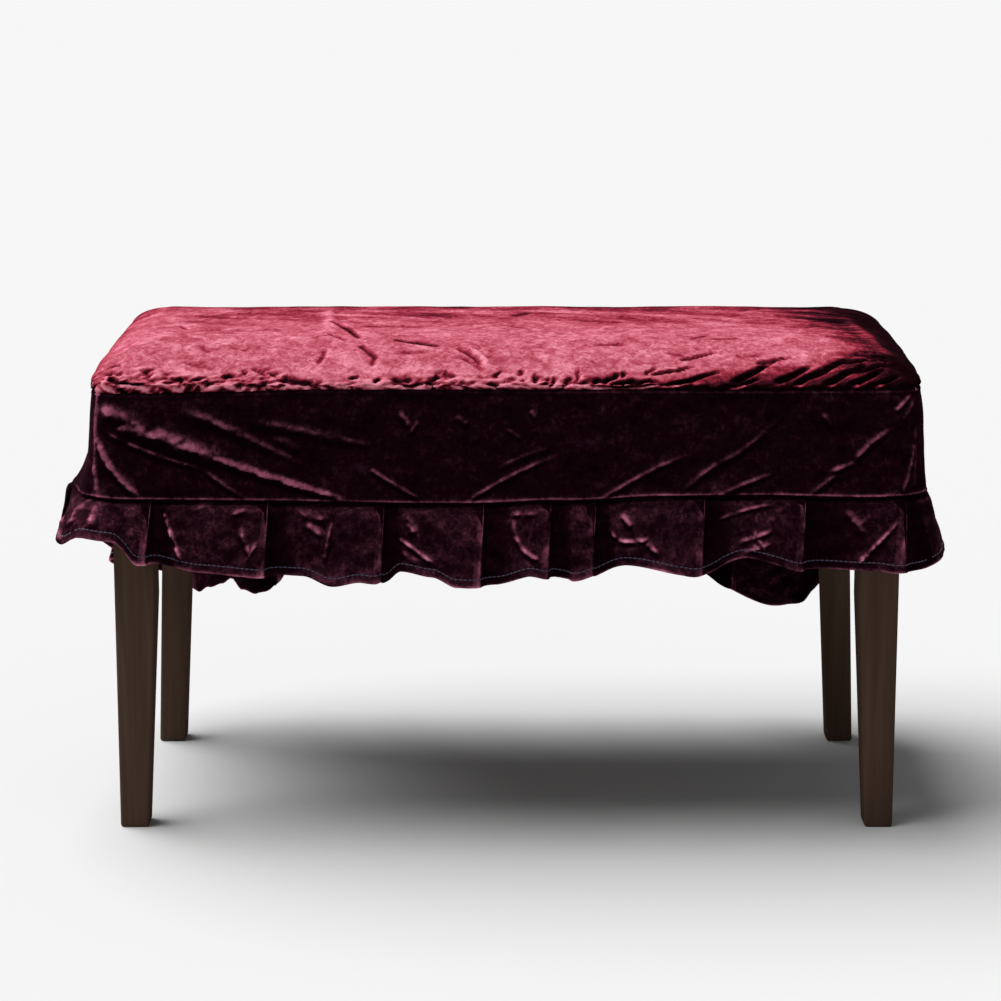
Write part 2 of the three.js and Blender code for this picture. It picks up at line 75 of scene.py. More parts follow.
Pair = tuple[float, float]
Triple = tuple[float, float, float]
Colour = Triple
Socket = bpy.types.NodeSocket


class Side(IntEnum):
    """The cover's sides, in order round it, each a quarter turn from the one before."""

    FRONT = 0
    RIGHT = 1
    BACK = 2
    LEFT = 3

    @property
    def label(self) -> str:
        """The side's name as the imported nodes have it."""
        return self.name.lower()


class Slot(Enum):
    """The record's material slots."""

    VELVET = "velvet"
    BENCH = "bench_black"


class Hold(Enum):
    """How a sheet of cloth is held."""

    DRAPED = "draped"
    HUNG = "hung"
    GATHERED = "gathered"


def smooth(value: np.ndarray) -> np.ndarray:
    """Eases a share from 0 to 1."""
    share = np.clip(value, 0.0, 1.0)
    return share * share * (3.0 - 2.0 * share)


def rise(value: np.ndarray, start: float, run: float) -> np.ndarray:
    """Eases from 0 at a start to 1 a run further on."""
    return smooth((value - start) / run)


def fall(value: np.ndarray, run: float) -> np.ndarray:
    """Eases from 1 at zero to 0 a run further on."""
    return 1.0 - smooth(value / run)


def bell(value: np.ndarray, middle: float, width: float) -> np.ndarray:
    """A bell curve, 1 at its middle."""
    return np.exp(-(((value - middle) / width) ** 2))


@dataclass(frozen=True)
class Rumple:
    """A layer of smooth noise over a sheet.

    Attributes:
        height: Height of its lumps.
        size: Size of its lumps, in millimetres.
        seed: Layer of the noise to cut through.
        squeeze: How much the lumps are squeezed along and across the sheet.
        base: Value that the lumps stand on.
    """

    height: float
    size: float
    seed: float
    squeeze: Pair = (1.0, 1.0)
    base: float = 0.0

    def at(self, flat: np.ndarray) -> np.ndarray:
        """The layer's values.

        Args:
            flat: Flat places, with two numbers in the last axis.

        Returns:
            The value at each place.
        """
        places = flat.reshape(-1, 2) * self.squeeze / self.size
        values = [noise.noise(Vector((x, y, self.seed))) for x, y in places]
        return self.base + self.height * np.array(values).reshape(flat.shape[:-1])


def layered(layers: tuple[Rumple, ...], flat: np.ndarray) -> np.ndarray:
    """The sum of layers of noise at flat places."""
    return sum(layer.at(flat) for layer in layers)


@dataclass(frozen=True)
class Crease:
    """A soft ridge or trough along a line in a sheet's own flat sizes, in millimetres.

    Attributes:
        start: Where the line starts, along and across the sheet.
        end: Where it ends.
        height: Height of the ridge, or below 0 the depth of the trough.
        width: Half width of the crease.
        bow: How far the line bends sideways at its middle.
        fade: Shares of the length over which its two ends die away.
        light: How much painted highlight lies along it.
        lip: How strongly the cloth beside it is pushed the other way.
        taper: Share of the width that is left at the end.
    """

    start: Pair
    end: Pair
    height: float
    width: float
    bow: float = 0.0
    fade: Pair = (0.3, 0.3)
    light: float = 0.0
    lip: float = 0.35
    taper: float = 1.0

    def section(self, along: np.ndarray, across: np.ndarray) -> np.ndarray:
        """The crease's shape, 1 at its crest.

        Args:
            along: First flat coordinate of the places.
            across: Second flat coordinate of the places.

        Returns:
            The share of the crease's height at each place.
        """
        run_x = self.end[0] - self.start[0]
        run_y = self.end[1] - self.start[1]
        length = math.hypot(run_x, run_y)
        from_x = along - self.start[0]
        from_y = across - self.start[1]
        travel = (from_x * run_x + from_y * run_y) / length
        share = np.clip(travel / length, 0.0, 1.0)
        sideways = (from_y * run_x - from_x * run_y) / length - 4.0 * self.bow * share * (1.0 - share)
        beyond = travel - share * length
        away = (sideways**2 + beyond**2) / (self.width * (1.0 + (self.taper - 1.0) * share)) ** 2
        ends = np.ones_like(share)
        for to_end, fade in zip((share, 1.0 - share), self.fade):
            if fade > 0.0:
                ends = ends * smooth(to_end / fade)
        return ends * (1.0 - self.lip * away) * np.exp(-away)

    def relief(self, along: np.ndarray, across: np.ndarray) -> np.ndarray:
        """The crease's height at places of the sheet."""
        return self.height * self.section(along, across)


def laid(rows: list[tuple]) -> list[Crease]:
    """Creases from rows of a start, an end and the values that follow in the crease's own order."""
    return [Crease((a, b), (c, d), *values) for a, b, c, d, *values in rows]


@dataclass(frozen=True)
class Brush:
    """An area painted with shade: all that lies to the right of a line, in millimetres.

    Attributes:
        start: Where the line starts, along and across the sheet.
        end: Where it ends.
        reach: Distance over which the cloth darkens.
        depth: How dark it gets.
    """

    start: Pair
    end: Pair
    reach: float
    depth: float

    def shade(self, along: np.ndarray, across: np.ndarray) -> np.ndarray:
        """How much painted shade lies there.

        Args:
            along: First flat coordinate of the places.
            across: Second flat coordinate of the places.

        Returns:
            What the painted light level loses at each place.
        """
        run_x = self.end[0] - self.start[0]
        run_y = self.end[1] - self.start[1]
        past = ((along - self.start[0]) * run_y - (across - self.start[1]) * run_x) / math.hypot(run_x, run_y)
        return self.depth * rise(past, -self.reach / 2.0, self.reach)


def total_relief(creases: list[Crease], along: np.ndarray, across: np.ndarray) -> np.ndarray:
    """The sum of all creases at places of a sheet."""
    return sum(crease.relief(along, across) for crease in creases)


def highest_relief(creases: list[Crease], along: np.ndarray, across: np.ndarray) -> np.ndarray:
    """The highest ridge at places of a sheet, where ridges run into each other."""
    return reduce(np.maximum, (crease.relief(along, across) for crease in creases), 0.0)


def lowest_relief(creases: list[Crease], along: np.ndarray, across: np.ndarray) -> np.ndarray:
    """The deepest trough at places of a sheet, where troughs run into each other."""
    return reduce(np.minimum, (crease.relief(along, across) for crease in creases), 0.0)


def highest_light(creases: list[Crease], along: np.ndarray, across: np.ndarray) -> np.ndarray:
    """The strongest painted highlight along the creases at places of a sheet."""
    lights = (crease.light * crease.section(along, across) for crease in creases if crease.light)
    return reduce(np.maximum, lights, 0.0)


def seam_relief(from_edge: np.ndarray, bead: float | np.ndarray, turn_in: float) -> np.ndarray:
    """A sewn edge: a small roll beside the seam, and the cloth turned in at it.

    Args:
        from_edge: Distance from the edge, in millimetres.
        bead: Height of the roll.
        turn_in: How far the edge itself is turned in.

    Returns:
        The height at each place.
    """
    return bead * bell(from_edge, *SEAM_ROLL) - turn_in * fall(from_edge, SEAM_TURN)


def seam_gather(layer: Rumple, flat: np.ndarray, from_edge: np.ndarray, reach: float) -> np.ndarray:
    """Gathers beside a seam, which die away from it and are calm at the seam itself.

    Args:
        layer: The gathers' noise.
        flat: Flat places for the noise.
        from_edge: Distance from the seam, in millimetres.
        reach: Distance over which the gathers die away.

    Returns:
        The height at each place.
    """
    return layer.at(flat) * np.exp(-from_edge / reach) * rise(from_edge, 0.0, SEAM_CALM)


@dataclass
class Outline:
    """The cover's rounded outline in plan, in millimetres from its middle.

    Attributes:
        half_width: Half of its size across, along X.
        half_depth: Half of its size from front to back.
        corner: Radius of its corners.
    """

    half_width: float
    half_depth: float
    corner: float = 28.0

    def __post_init__(self) -> None:
        """Works out where each side starts on the way round."""
        reach = np.array([self.half_width, self.half_depth] * 2)
        self.distances = np.array([self.half_depth, self.half_width] * 2)
        self.straights = reach - self.corner
        self.halves = self.straights + self.corner * math.pi / 4.0
        self.starts = np.concatenate(([0.0], np.cumsum(2.0 * self.halves)[:-1]))
        self.length = float(2.0 * self.halves.sum())

    def place(self, side: Side, along: float) -> float:
        """Distance round the outline to a place along a side from its middle."""
        return float(self.starts[side] + self.halves[side] + along)

    def past(self, place: np.ndarray, start: float | np.ndarray) -> np.ndarray:
        """Distance round the outline from a start, by the shorter way."""
        half = self.length / 2.0
        return np.mod(place - start + half, self.length) - half

    def at(self, place: np.ndarray) -> tuple[np.ndarray, np.ndarray]:
        """Points and outward directions of the outline.

        Args:
            place: Distances round the outline.

        Returns:
            The points and the directions, each with X and Y in the last axis.
        """
        turned = np.mod(place, self.length)
        side = np.searchsorted(self.starts, turned, side="right") - 1
        along = turned - self.starts[side] - self.halves[side]
        hand = np.sign(along)
        bend = np.maximum(0.0, np.abs(along) - self.straights[side]) / self.corner
        reach = np.minimum(np.abs(along), self.straights[side]) + self.corner * np.sin(bend)
        inward = self.corner * (1.0 - np.cos(bend)) - self.distances[side]
        cos, sin = np.cos(side * math.pi / 2.0), np.sin(side * math.pi / 2.0)

        def turn(x: np.ndarray, y: np.ndarray) -> np.ndarray:
            """Turns a vector from the front to its own side."""
            return np.stack((x * cos - y * sin, x * sin + y * cos), axis=-1)

        return turn(hand * reach, inward), turn(hand * np.sin(bend), -np.cos(bend))

    def beside(self, place: np.ndarray, offset: np.ndarray, height: np.ndarray) -> np.ndarray:
        """Points at a distance outside the outline and at a height.

        Args:
            place: Distances round the outline.
            offset: Distances outwards.
            height: Heights above the floor.

        Returns:
            The points, with X, Y and Z in the last axis.
        """
        edge, outward = self.at(place)
        plan = edge + outward * offset[..., None]
        return np.concatenate((plan, height[..., None]), axis=-1)


@dataclass(frozen=True)
class Sag:
    """A slack place at the back, where the overlong cloth droops."""

    along: float
    depth: float
    reach: float


@dataclass(frozen=True)
class Hang:
    """How the cloth hangs at one place: flare of the band's foot and of the hem, and the hem's lift."""

    along: float
    band_flare: float
    flare: float
    lift: float


@dataclass
class Drape:
    """The heights and flares that the cover's sewn pieces share, in millimetres."""

    outline: Outline
    seam_front: float = 450.0
    rear_drop: float = 85.0
    rear_drop_power: float = 2.5
    sags: tuple[Sag, ...] = (Sag(-300, 48, 108), Sag(318, 38, 105))
    # Depth and reach of the pull on the upper seam at the front right and front left corners.
    pulls: tuple[Pair, Pair] = ((4.5, 55.0), (3.0, 45.0))
    # How far the seams above and under the band lie lower, at distances across the front.
    sinks: tuple[Pair, ...] = (
        (-500, 0.0), (-420, 4.5), (-350, 4.5), (-290, 2.5), (-235, 2.0), (-190, 0.0),
    )
    dips: tuple[Pair, ...] = (
        (-480, 0.0), (-400, 1.5), (-371, 4.0), (-294, 5.0), (-198, 6.0), (-131, 7.5), (-64, 8.4), (-25, 8.0),
        (3, 7.0), (37, 4.8), (66, 5.4), (90, 4.4), (128, 1.2), (186, 0.5), (262, 0.0), (330, 2.0), (368, 1.6),
        (400, 0.0),
    )
    easing: tuple[float, ...] = (-14, -7, 0, 7, 14)
    rows: dict[Side, tuple[Hang, ...]] = field(default_factory=lambda: {
        Side.FRONT: (
            Hang(-392, 8, 32, 44), Hang(-380, 7, 30, 42), Hang(-350, 4, 26, 18), Hang(-300, 4, 20, 8),
            Hang(-232, 4, 18, 4), Hang(-200, 4, 18, 3), Hang(-170, 4, 20, -6), Hang(-142, 4, 22, -1),
            Hang(-124, 4, 22, -2), Hang(-106, 4, 22, 8), Hang(-74, 4, 23, 4), Hang(-48, 4, 25, -5),
            Hang(-14, 4, 22, -5), Hang(24, 4, 20, 6), Hang(63, 4, 22, 0), Hang(115, 4, 16, 13),
            Hang(182, 4, 22, 6), Hang(230, 4, 14, 21), Hang(290, 4, 20, 11), Hang(350, 4, 20, 10),
            Hang(384, 4, 20, 8),
        ),
        Side.RIGHT: (Hang(-150, 6, 22, 12), Hang(0, 6, 22, 0), Hang(150, 6, 24, 4)),
        Side.BACK: (
            Hang(-372, 6, 26, 6), Hang(-351, 6, 22, -3), Hang(-338, 5, 20, -9), Hang(-318, 5, 18, -4),
            Hang(-280, 5, 18, -3), Hang(-247, 5, 18, -5), Hang(-222, 5, 18, -2), Hang(-120, 4, 20, 4),
            Hang(0, 5, 16, 0), Hang(140, 4, 20, 5), Hang(225, 4, 18, 3), Hang(246, 4, 18, -3),
            Hang(260, 5, 18, -13), Hang(276, 5, 18, -9), Hang(294, 5, 18, 2), Hang(307, 5, 18, 18),
            Hang(318, 5, 18, 12), Hang(334, 5, 18, 5), Hang(350, 5, 20, -6), Hang(372, 6, 26, 2),
        ),
        Side.LEFT: (
            Hang(-150, 3, 16, 4), Hang(0, 6, 14, 10), Hang(112, 27, 33, 26), Hang(166, 13, 34, 32),
        ),
    })

    def __post_init__(self) -> None:
        """Lays the hang rows out round the outline."""
        placed = [
            (self.outline.place(side, row.along), row) for side, rows in self.rows.items() for row in rows
        ]
        self.places = np.array([place for place, _ in placed])
        self.values = np.array([(row.band_flare, row.flare, row.lift) for _, row in placed], dtype=float)

    def seam(self, place: np.ndarray) -> np.ndarray:
        """Height of the seam between top panel and band, before it sinks.

        Args:
            place: Distances round the outline.

        Returns:
            The height at each place.
        """
        points, _ = self.outline.at(place)
        back = rise(points[..., 1], -self.outline.half_depth, 2.0 * self.outline.half_depth)
        height = self.seam_front - self.rear_drop * back**self.rear_drop_power
        for sag in self.sags:
            away = np.abs(self.outline.past(place, self.outline.place(Side.BACK, sag.along)))
            height = height - sag.depth * fall(away, sag.reach)
        return height

    def lowered(self, table: tuple[Pair, ...], place: np.ndarray) -> np.ndarray:
        """How far a seam lies lower at places round the outline, from its table across the front."""
        across = self.outline.past(place, self.outline.place(Side.FRONT, 0.0))
        return np.mean([np.interp(across + step, *np.array(table).T) for step in self.easing], axis=0)

    def sink(self, place: np.ndarray) -> np.ndarray:
        """How far the seam above the band sinks at places round the outline."""
        return self.lowered(self.sinks, place)

    def dip(self, place: np.ndarray) -> np.ndarray:
        """How far the seam under the band dips at places round the outline."""
        return self.lowered(self.dips, place)

    def pulled_in(self, place: np.ndarray) -> np.ndarray:
        """How far the seam under the top panel is pulled in at the two front corners."""
        corners = (self.outline.starts[Side.RIGHT], self.outline.starts[Side.FRONT])
        return sum(
            depth * bell(self.outline.past(place, corner), 0.0, reach)
            for corner, (depth, reach) in zip(corners, self.pulls)
        )

    def hang(self, place: np.ndarray) -> tuple[np.ndarray, np.ndarray, np.ndarray]:
        """How the cloth hangs.

        Args:
            place: Distances round the outline.

        Returns:
            Band flare, hem flare and hem lift at each place.
        """
        turned = np.mod(place, self.outline.length)
        after = np.searchsorted(self.places, turned, side="right") % len(self.places)
        before = after - 1
        gap = np.mod(self.places[after] - self.places[before], self.outline.length)
        share = smooth(np.mod(turned - self.places[before], self.outline.length) / gap)[..., None]
        mixed = self.values[before] + (self.values[after] - self.values[before]) * share
        return mixed[..., 0], mixed[..., 1], mixed[..., 2]


def grid_normals(points: np.ndarray) -> np.ndarray:
    """Outward directions of a grid of points.

    Args:
        points: The grid, whose rows run upwards or backwards.

    Returns:
        The direction at each point.
    """
    along = np.gradient(points, axis=1)
    upward = np.gradient(points, axis=0)
    normals = np.cross(along, upward)
    return normals / np.maximum(np.linalg.norm(normals, axis=-1, keepdims=True), TINY)


def travelled(points: np.ndarray, axis: int = 0) -> np.ndarray:
    """Distance along lines of points from their first one.

    Args:
        points: The points, with their coordinates in the last axis.
        axis: The axis that the lines run along.

    Returns:
        The distance at each point.
    """
    steps = np.linalg.norm(np.diff(points, axis=axis), axis=-1)
    width = [(1, 0) if k == axis else (0, 0) for k in range(steps.ndim)]
    return np.pad(np.cumsum(steps, axis=axis), width)


def hanging_painted_light(
    points: np.ndarray, plain: np.ndarray, ridges: np.ndarray, base: float | np.ndarray,
) -> np.ndarray:
    """Painted light on cloth that hangs: dark, with painted highlights on ridges and where a fold turns
    upwards.

    Args:
        points: The folded cloth's points.
        plain: The same points without the folds.
        ridges: Height of the folds, in millimetres.
        base: The painted light level of the plain cloth.

    Returns:
        The painted light level at each point.
    """
    turned = (grid_normals(points) - grid_normals(plain))[..., 2]
    return base + RIDGE_LIGHT * ridges + TURN_LIGHT * turned


def nearby(values: np.ndarray, reach: int, axis: int) -> np.ndarray:
    """The values near each place along one axis of a grid.

    Args:
        values: The grid.
        reach: Number of steps to each side.
        axis: The axis to go along.

    Returns:
        The values, with the steps in a new first axis.
    """
    width = [(reach, reach) if k == axis else (0, 0) for k in range(values.ndim)]
    padded = np.pad(values, width, mode="edge")
    return np.stack([np.take(padded, range(s, s + values.shape[axis]), axis) for s in range(2 * reach + 1)])


def lowest_near(values: np.ndarray, reach: int) -> np.ndarray:
    """The lowest value of a grid within some steps of each place."""
    return nearby(nearby(values, reach, 0).min(axis=0), reach, 1).min(axis=0)


def blurred(values: np.ndarray, reach: int) -> np.ndarray:
    """The mean value of a grid within some steps of each place."""
    return nearby(nearby(values, reach, 0).mean(axis=0), reach, 1).mean(axis=0)


def deselect() -> None:
    """Leaves nothing selected, so that the next operator acts on its own piece alone."""
    bpy.ops.object.select_all(action="DESELECT")


def sewn(name: str, points: np.ndarray, faces: list[tuple[int, ...]], middle: Vector) -> bpy.types.Object:
    """Makes a piece of the cover, and leaves it alone selected and active.

    Args:
        name: Name of the piece.
        points: Its points, in millimetres from the cover's middle.
        faces: The points of each face, in order.
        middle: The cover's middle in the frame, on the floor.

    Returns:
        The piece.
    """
    mesh = bpy.data.meshes.new(name)
    mesh.from_pydata((points * MM + np.array(middle)).tolist(), [], faces)
    mesh.update()
    piece = bpy.data.objects.new(name, mesh)
    bpy.context.scene.collection.objects.link(piece)
    deselect()
    piece.select_set(True)
    bpy.context.view_layer.objects.active = piece
    return piece


def settle(piece: bpy.types.Object, slot: Slot, material: bpy.types.Material, *nodes: str) -> None:
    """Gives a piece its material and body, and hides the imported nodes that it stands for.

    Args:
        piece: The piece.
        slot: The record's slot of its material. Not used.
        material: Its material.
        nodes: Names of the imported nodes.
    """
    piece.data.materials.clear()
    piece.data.materials.append(material)
    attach(piece, BODY)
    if nodes:
        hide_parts(*nodes)
    LOG.info("%s: %d faces", piece.name, len(piece.data.polygons))


@dataclass
class Cloth:
    """A thin closed sheet of cloth on a grid of points.

    Attributes:
        name: Name of the piece.
        points: Outer face in millimetres from the cover's middle. Rows run upwards or backwards.
        flat: Flat places of the points, in millimetres.
        painted_light: Painted light level at the points, from 0 for painted shade to 1 for painted highlight.
        inner: Points of the inner face, or None to follow the outer one.
        inner_every: Every how many rows and columns the inner face has points.
        thickness: Thickness of the cloth, in millimetres.
        crisp: Angle in degrees past which an edge is shaded sharp.
    """

    name: str
    points: np.ndarray
    flat: np.ndarray
    painted_light: np.ndarray
    inner: np.ndarray | None = None
    inner_every: int = 1
    thickness: float = 1.6
    crisp: float = 70.0

    def faces(self, rows: list[int], columns: list[int]) -> list[tuple[int, ...]]:
        """Faces of the closed sheet, outer points first.

        Args:
            rows: Rows of the grid that the inner face has.
            columns: Columns of the grid that the inner face has.

        Returns:
            The points of each face, in order.
        """
        height, width = self.points.shape[:2]
        outer = np.arange(height * width).reshape(height, width)
        inner = outer.size + np.arange(len(rows) * len(columns)).reshape(len(rows), len(columns))
        made = []
        for grid, turned in ((outer, 1), (inner, -1)):
            corners = (grid[:-1, :-1], grid[:-1, 1:], grid[1:, 1:], grid[1:, :-1])
            made += [tuple(face[::turned]) for face in np.stack(corners, axis=-1).reshape(-1, 4).tolist()]
        rims = (
            (outer[0], inner[0], columns, -1), (outer[-1], inner[-1], columns, 1),
            (outer[:, 0], inner[:, 0], rows, 1), (outer[:, -1], inner[:, -1], rows, -1),
        )
        for edge, back, kept, turned in rims:
            for k, (low, high) in enumerate(zip(kept[:-1], kept[1:])):
                rim = [*edge[low:high + 1].tolist(), int(back[k + 1]), int(back[k])]
                made.append(tuple(rim[::turned]))
        return made

    def build(self, middle: Vector) -> bpy.types.Object:
        """Makes the sheet.

        Args:
            middle: The cover's middle in the frame, on the floor.

        Returns:
            The finished sheet, as a closed mesh.
        """
        rows, columns = ([*range(0, n - 1, self.inner_every), n - 1] for n in self.points.shape[:2])
        inner = self.points - grid_normals(self.points) * self.thickness if self.inner is None else self.inner
        kept = np.ix_(rows, columns)

        def both(outer: np.ndarray, back: np.ndarray) -> np.ndarray:
            """Values of the outer face's points and then of the inner face's."""
            size = outer.shape[2:]
            return np.concatenate((outer.reshape(-1, *size), back[kept].reshape(-1, *size)))

        piece = sewn(self.name, both(self.points, inner), self.faces(rows, columns), middle)
        mesh = piece.data
        corners = np.empty(len(mesh.loops), np.int32)
        mesh.loops.foreach_get("vertex_index", corners)
        flat = both(self.flat, self.flat)[corners] * MM
        mesh.uv_layers.new(name="flat").data.foreach_set("uv", flat.astype(np.float32).ravel())
        # Each point's painted light level goes to the shader as an attribute.
        painted_light = both(self.painted_light, self.painted_light)
        mesh.attributes.new(PAINTED_LIGHT, "FLOAT", "POINT").data.foreach_set("value", painted_light.astype(np.float32))
        bpy.ops.object.shade_smooth_by_angle(angle=math.radians(self.crisp))
        return piece


@dataclass
class Spread:
    """Where the points of the top panel lie on its cloth, in millimetres along it.

    Attributes:
        place: Distance round the outline that each point leads to.
        across: Distance across from the cover's middle.
        up: Distance from the front seam.
        flat: Distances from the left seam and the front seam.
        from_edge: Distance from the nearest seam.
    """

    place: np.ndarray
    across: np.ndarray
    up: np.ndarray
    flat: np.ndarray
    from_edge: np.ndarray

    @classmethod
    def measured(cls, points: np.ndarray, place: np.ndarray) -> "Spread":
        """Measures a panel along its rows and columns.

        Args:
            points: The panel's points.
            place: Distance round the outline that each leads to.

        Returns:
            The measured places.
        """
        up, side = travelled(points, 0), travelled(points, 1)
        from_edge = np.minimum.reduce((up, up[-1:] - up, side, side[:, -1:] - side))
        return cls(place, points[..., 0], up, np.stack((side, up), axis=-1), from_edge)


@dataclass
class TopPanel:
    """The top panel over the crowned seat, with its creases and the puckers above the front seam.

    Values for the four sides are in the sides' order, and sizes in millimetres. A pair named for a stretch
    has its start and its run.
    """

    drape: Drape
    cut: Pair = (0.95, 0.62)
    area: float = 0.52
    thickness: float = 1.6

    # Heights of the flat top, its middle over them, and the shoulder's foot.
    plateau_height: float = 484.0
    crown: float = 4.0
    foot: float = 454.0
    shoulders: tuple[float, ...] = (90.0, 96.0, 90.0, 72.0)

    # How square the shoulders are, as powers: by side, and at the front left, front right and back corners.
    powers: tuple[float, ...] = (1.35, 2.0, 2.05, 2.05)
    corner_powers: Triple = (1.44, 1.25, 2.05)
    rounder_right: float = 0.3
    right_stretch: Pair = (80.0, 280.0)

    # Rings of the grid from the plateau out to the seam, its steps, and where corners are blurred, in rings.
    shoulder_rings: float = 4.0
    wall_rings: float = 2.0
    shoulder_steps: tuple[int, ...] = (48, 28, 14, 26)
    wall_steps: tuple[int, ...] = (4, 8, 10, 8)
    plateau_steps: tuple[int, int] = (360, 84)
    corner_stretch: Pair = (0.4, 0.4)
    blur_rings: Pair = (0.6, 1.2)
    blur_steps: int = 5

    # The cloth's own looseness, and the room that troughs have above the seat.
    slack: tuple[Rumple, ...] = (Rumple(1.3, 85.0, 1.2), Rumple(0.55, 30.0, 5.1))
    loft: float = 1.3
    loft_reach: float = 60.0
    seam_turn_in: float = 1.2
    gather: Rumple = Rumple(2.2, 15.0, 3.7, (1.0, 0.35))
    gather_reach: float = 16.0
    front_gather: float = 0.3
    least_room: float = 0.4
    edge_room: float = 4.0
    edge_room_stretch: Pair = (15.0, 70.0)
    room_softness: float = 0.5
    inner_reach: int = 2

    # Puckers are warped by fine and broad noise, and drags by a part of the broad one.
    fine_warp: tuple[Rumple, ...] = (Rumple(5.0, 9.0, 0.6), Rumple(5.0, 9.0, 4.9))
    broad_warp: tuple[Rumple, ...] = (Rumple(4.0, 22.0, 0.6), Rumple(4.0, 22.0, 4.9))
    drag_warp: float = 0.4

    # The crinkled strip above the front seam: its height at distances across, its edge and its ripples.
    crinkled: tuple[Pair, ...] = (
        (-404, 42), (-330, 32), (-232, 36), (-190, 15), (-120, 13), (-62, 26), (0, 19), (64, 24), (140, 17),
        (220, 8), (404, 6),
    )
    crinkle_edge: Rumple = Rumple(0.5, 24.0, 7.7, (1.0, 0.2), 1.0)
    crinkle_fade: float = 12.0
    crinkle_start: Pair = (-3.0, 6.0)
    ripples: tuple[Rumple, ...] = (Rumple(1.0, 7.0, 3.1), Rumple(0.5, 3.6, 8.4))
    ripple_slant: tuple[Pair, Pair] = ((0.55, 0.495), (-0.25, 1.25))
    ripple_heights: Pair = (3.2, 2.2)

    # Painted light: the direction that it comes from, and the painted shade and painted light added to it.
    painted_lighting: Triple = (-0.34, -0.16, 0.785)
    painted_lighting_blur: int = 12
    corner_calm: float = 9.0
    lightest: float = 0.93
    # Painted shade in the creases and the puckers.
    crease_shade: float = 0.13
    crease_span: Pair = (-4.5, 2.5)
    gather_shade: float = 0.085
    gather_span: Pair = (-5.5, 2.0)
    # Areas painted with shade to the right of a line: the right end, and the slope at the front right.
    shaded_areas: tuple[Brush, ...] = (
        Brush((358, 30), (310, 310), 84, 0.52), Brush((140, 0), (372, 56), 26, 0.24),
    )
    shaded_area_streaks: tuple[Rumple, ...] = (
        Rumple(34.0, 30.0, 9.3, (0.45, 1.7)), Rumple(34.0, 11.0, 4.1, (0.35, 2.6)),
    )
    shaded_area_mottle: Rumple = Rumple(0.55, 15.0, 3.3, (0.5, 1.7), 0.84)
    # Painted shade over the back part, painted light on the front slope and its strip at the seam towards the
    # left, and painted light where the cloth faces backwards.
    far_shade: float = 0.095
    far_stretch: Pair = (130.0, 110.0)
    far_mottle: Rumple = Rumple(2.6, 34.0, 2.6, (0.8, 1.4), 1.0)
    unlit_stretch: Pair = (60.0, 120.0)
    fringe_light: float = 0.17
    fringe_height: float = 48.0
    edge_light: float = 0.66
    edge_height: float = 14.0
    edge_mottle: Rumple = Rumple(1.3, 8.0, 6.2, (1.0, 0.5), 0.6)
    back_light: float = 0.26
    back_stretch: Pair = (0.3, 0.6)

    def creases(self) -> list[Crease]:
        """Creases of the top, by distance across from the middle and up from the front seam."""
        # Start, end, height, half width, and for some a bow and fades.
        return laid([
            (-331, 192, -319, 158, -1.8, 2.8), (-318, 150, -248, 143, -1.4, 4, 2),
            (-314, 46, -276, 28, -1.8, 2.8), (-300, 86, -286, 60, -1.2, 3),
            (-176, 72, -184, 30, -1.7, 2.2, 2), (-188, 300, -173, 112, 1.4, 7),
            (-180, 190, -143, 92, -3.2, 3.8, 3, (0.12, 0.15)), (-179, 124, -154, 86, -1.9, 3),
            (-143, 76, -124, 46, -2.8, 3.6, 0, (0.15, 0.2)), (-130, 30, -126, 52, -1.6, 2.8),
            (-319, 28, -272, 11, 1.6, 4), (-112, 95, -62, 76, -4.2, 3.6, -2, (0.2, 0.15)),
            (-110, 58, -70, 60, -1.6, 3.4), (-54, 74, -22, 30, -2.6, 2.8, 4), (-46, 78, -16, 34, 2.0, 3, 4),
            (-50, 52, -20, 20, -1.8, 2.8, 3), (-21, 172, 28, 136, -2.0, 3.4, 4), (4, 212, 31, 252, -1.6, 5),
            (-152, 150, -76, 147, -1.8, 5, 4), (82, 84, 123, 81, -2.0, 3.2), (150, 66, 186, 50, -1.6, 3),
            (180, 104, 203, 126, -1.8, 3), (198, 104, 237, 112, -2.0, 3), (218, 58, 250, 56, -1.8, 3),
            (306, 62, 374, 54, -1.8, 4, 3), (352, 300, 380, 48, 1.8, 9, -6), (-300, 240, -262, 226, -1.4, 5),
            (60, 196, 128, 178, -1.5, 5, 4), (-110, 226, -40, 240, -1.5, 5, -3),
            (-60, 260, 16, 246, -1.5, 5, -3),
        ])

    def gathers(self) -> tuple[list[Crease], list[Crease]]:
        """Puckers above the front seam, by the same distances as the creases.

        Returns:
            The pockets and bays, and the slanted drags to their right.
        """
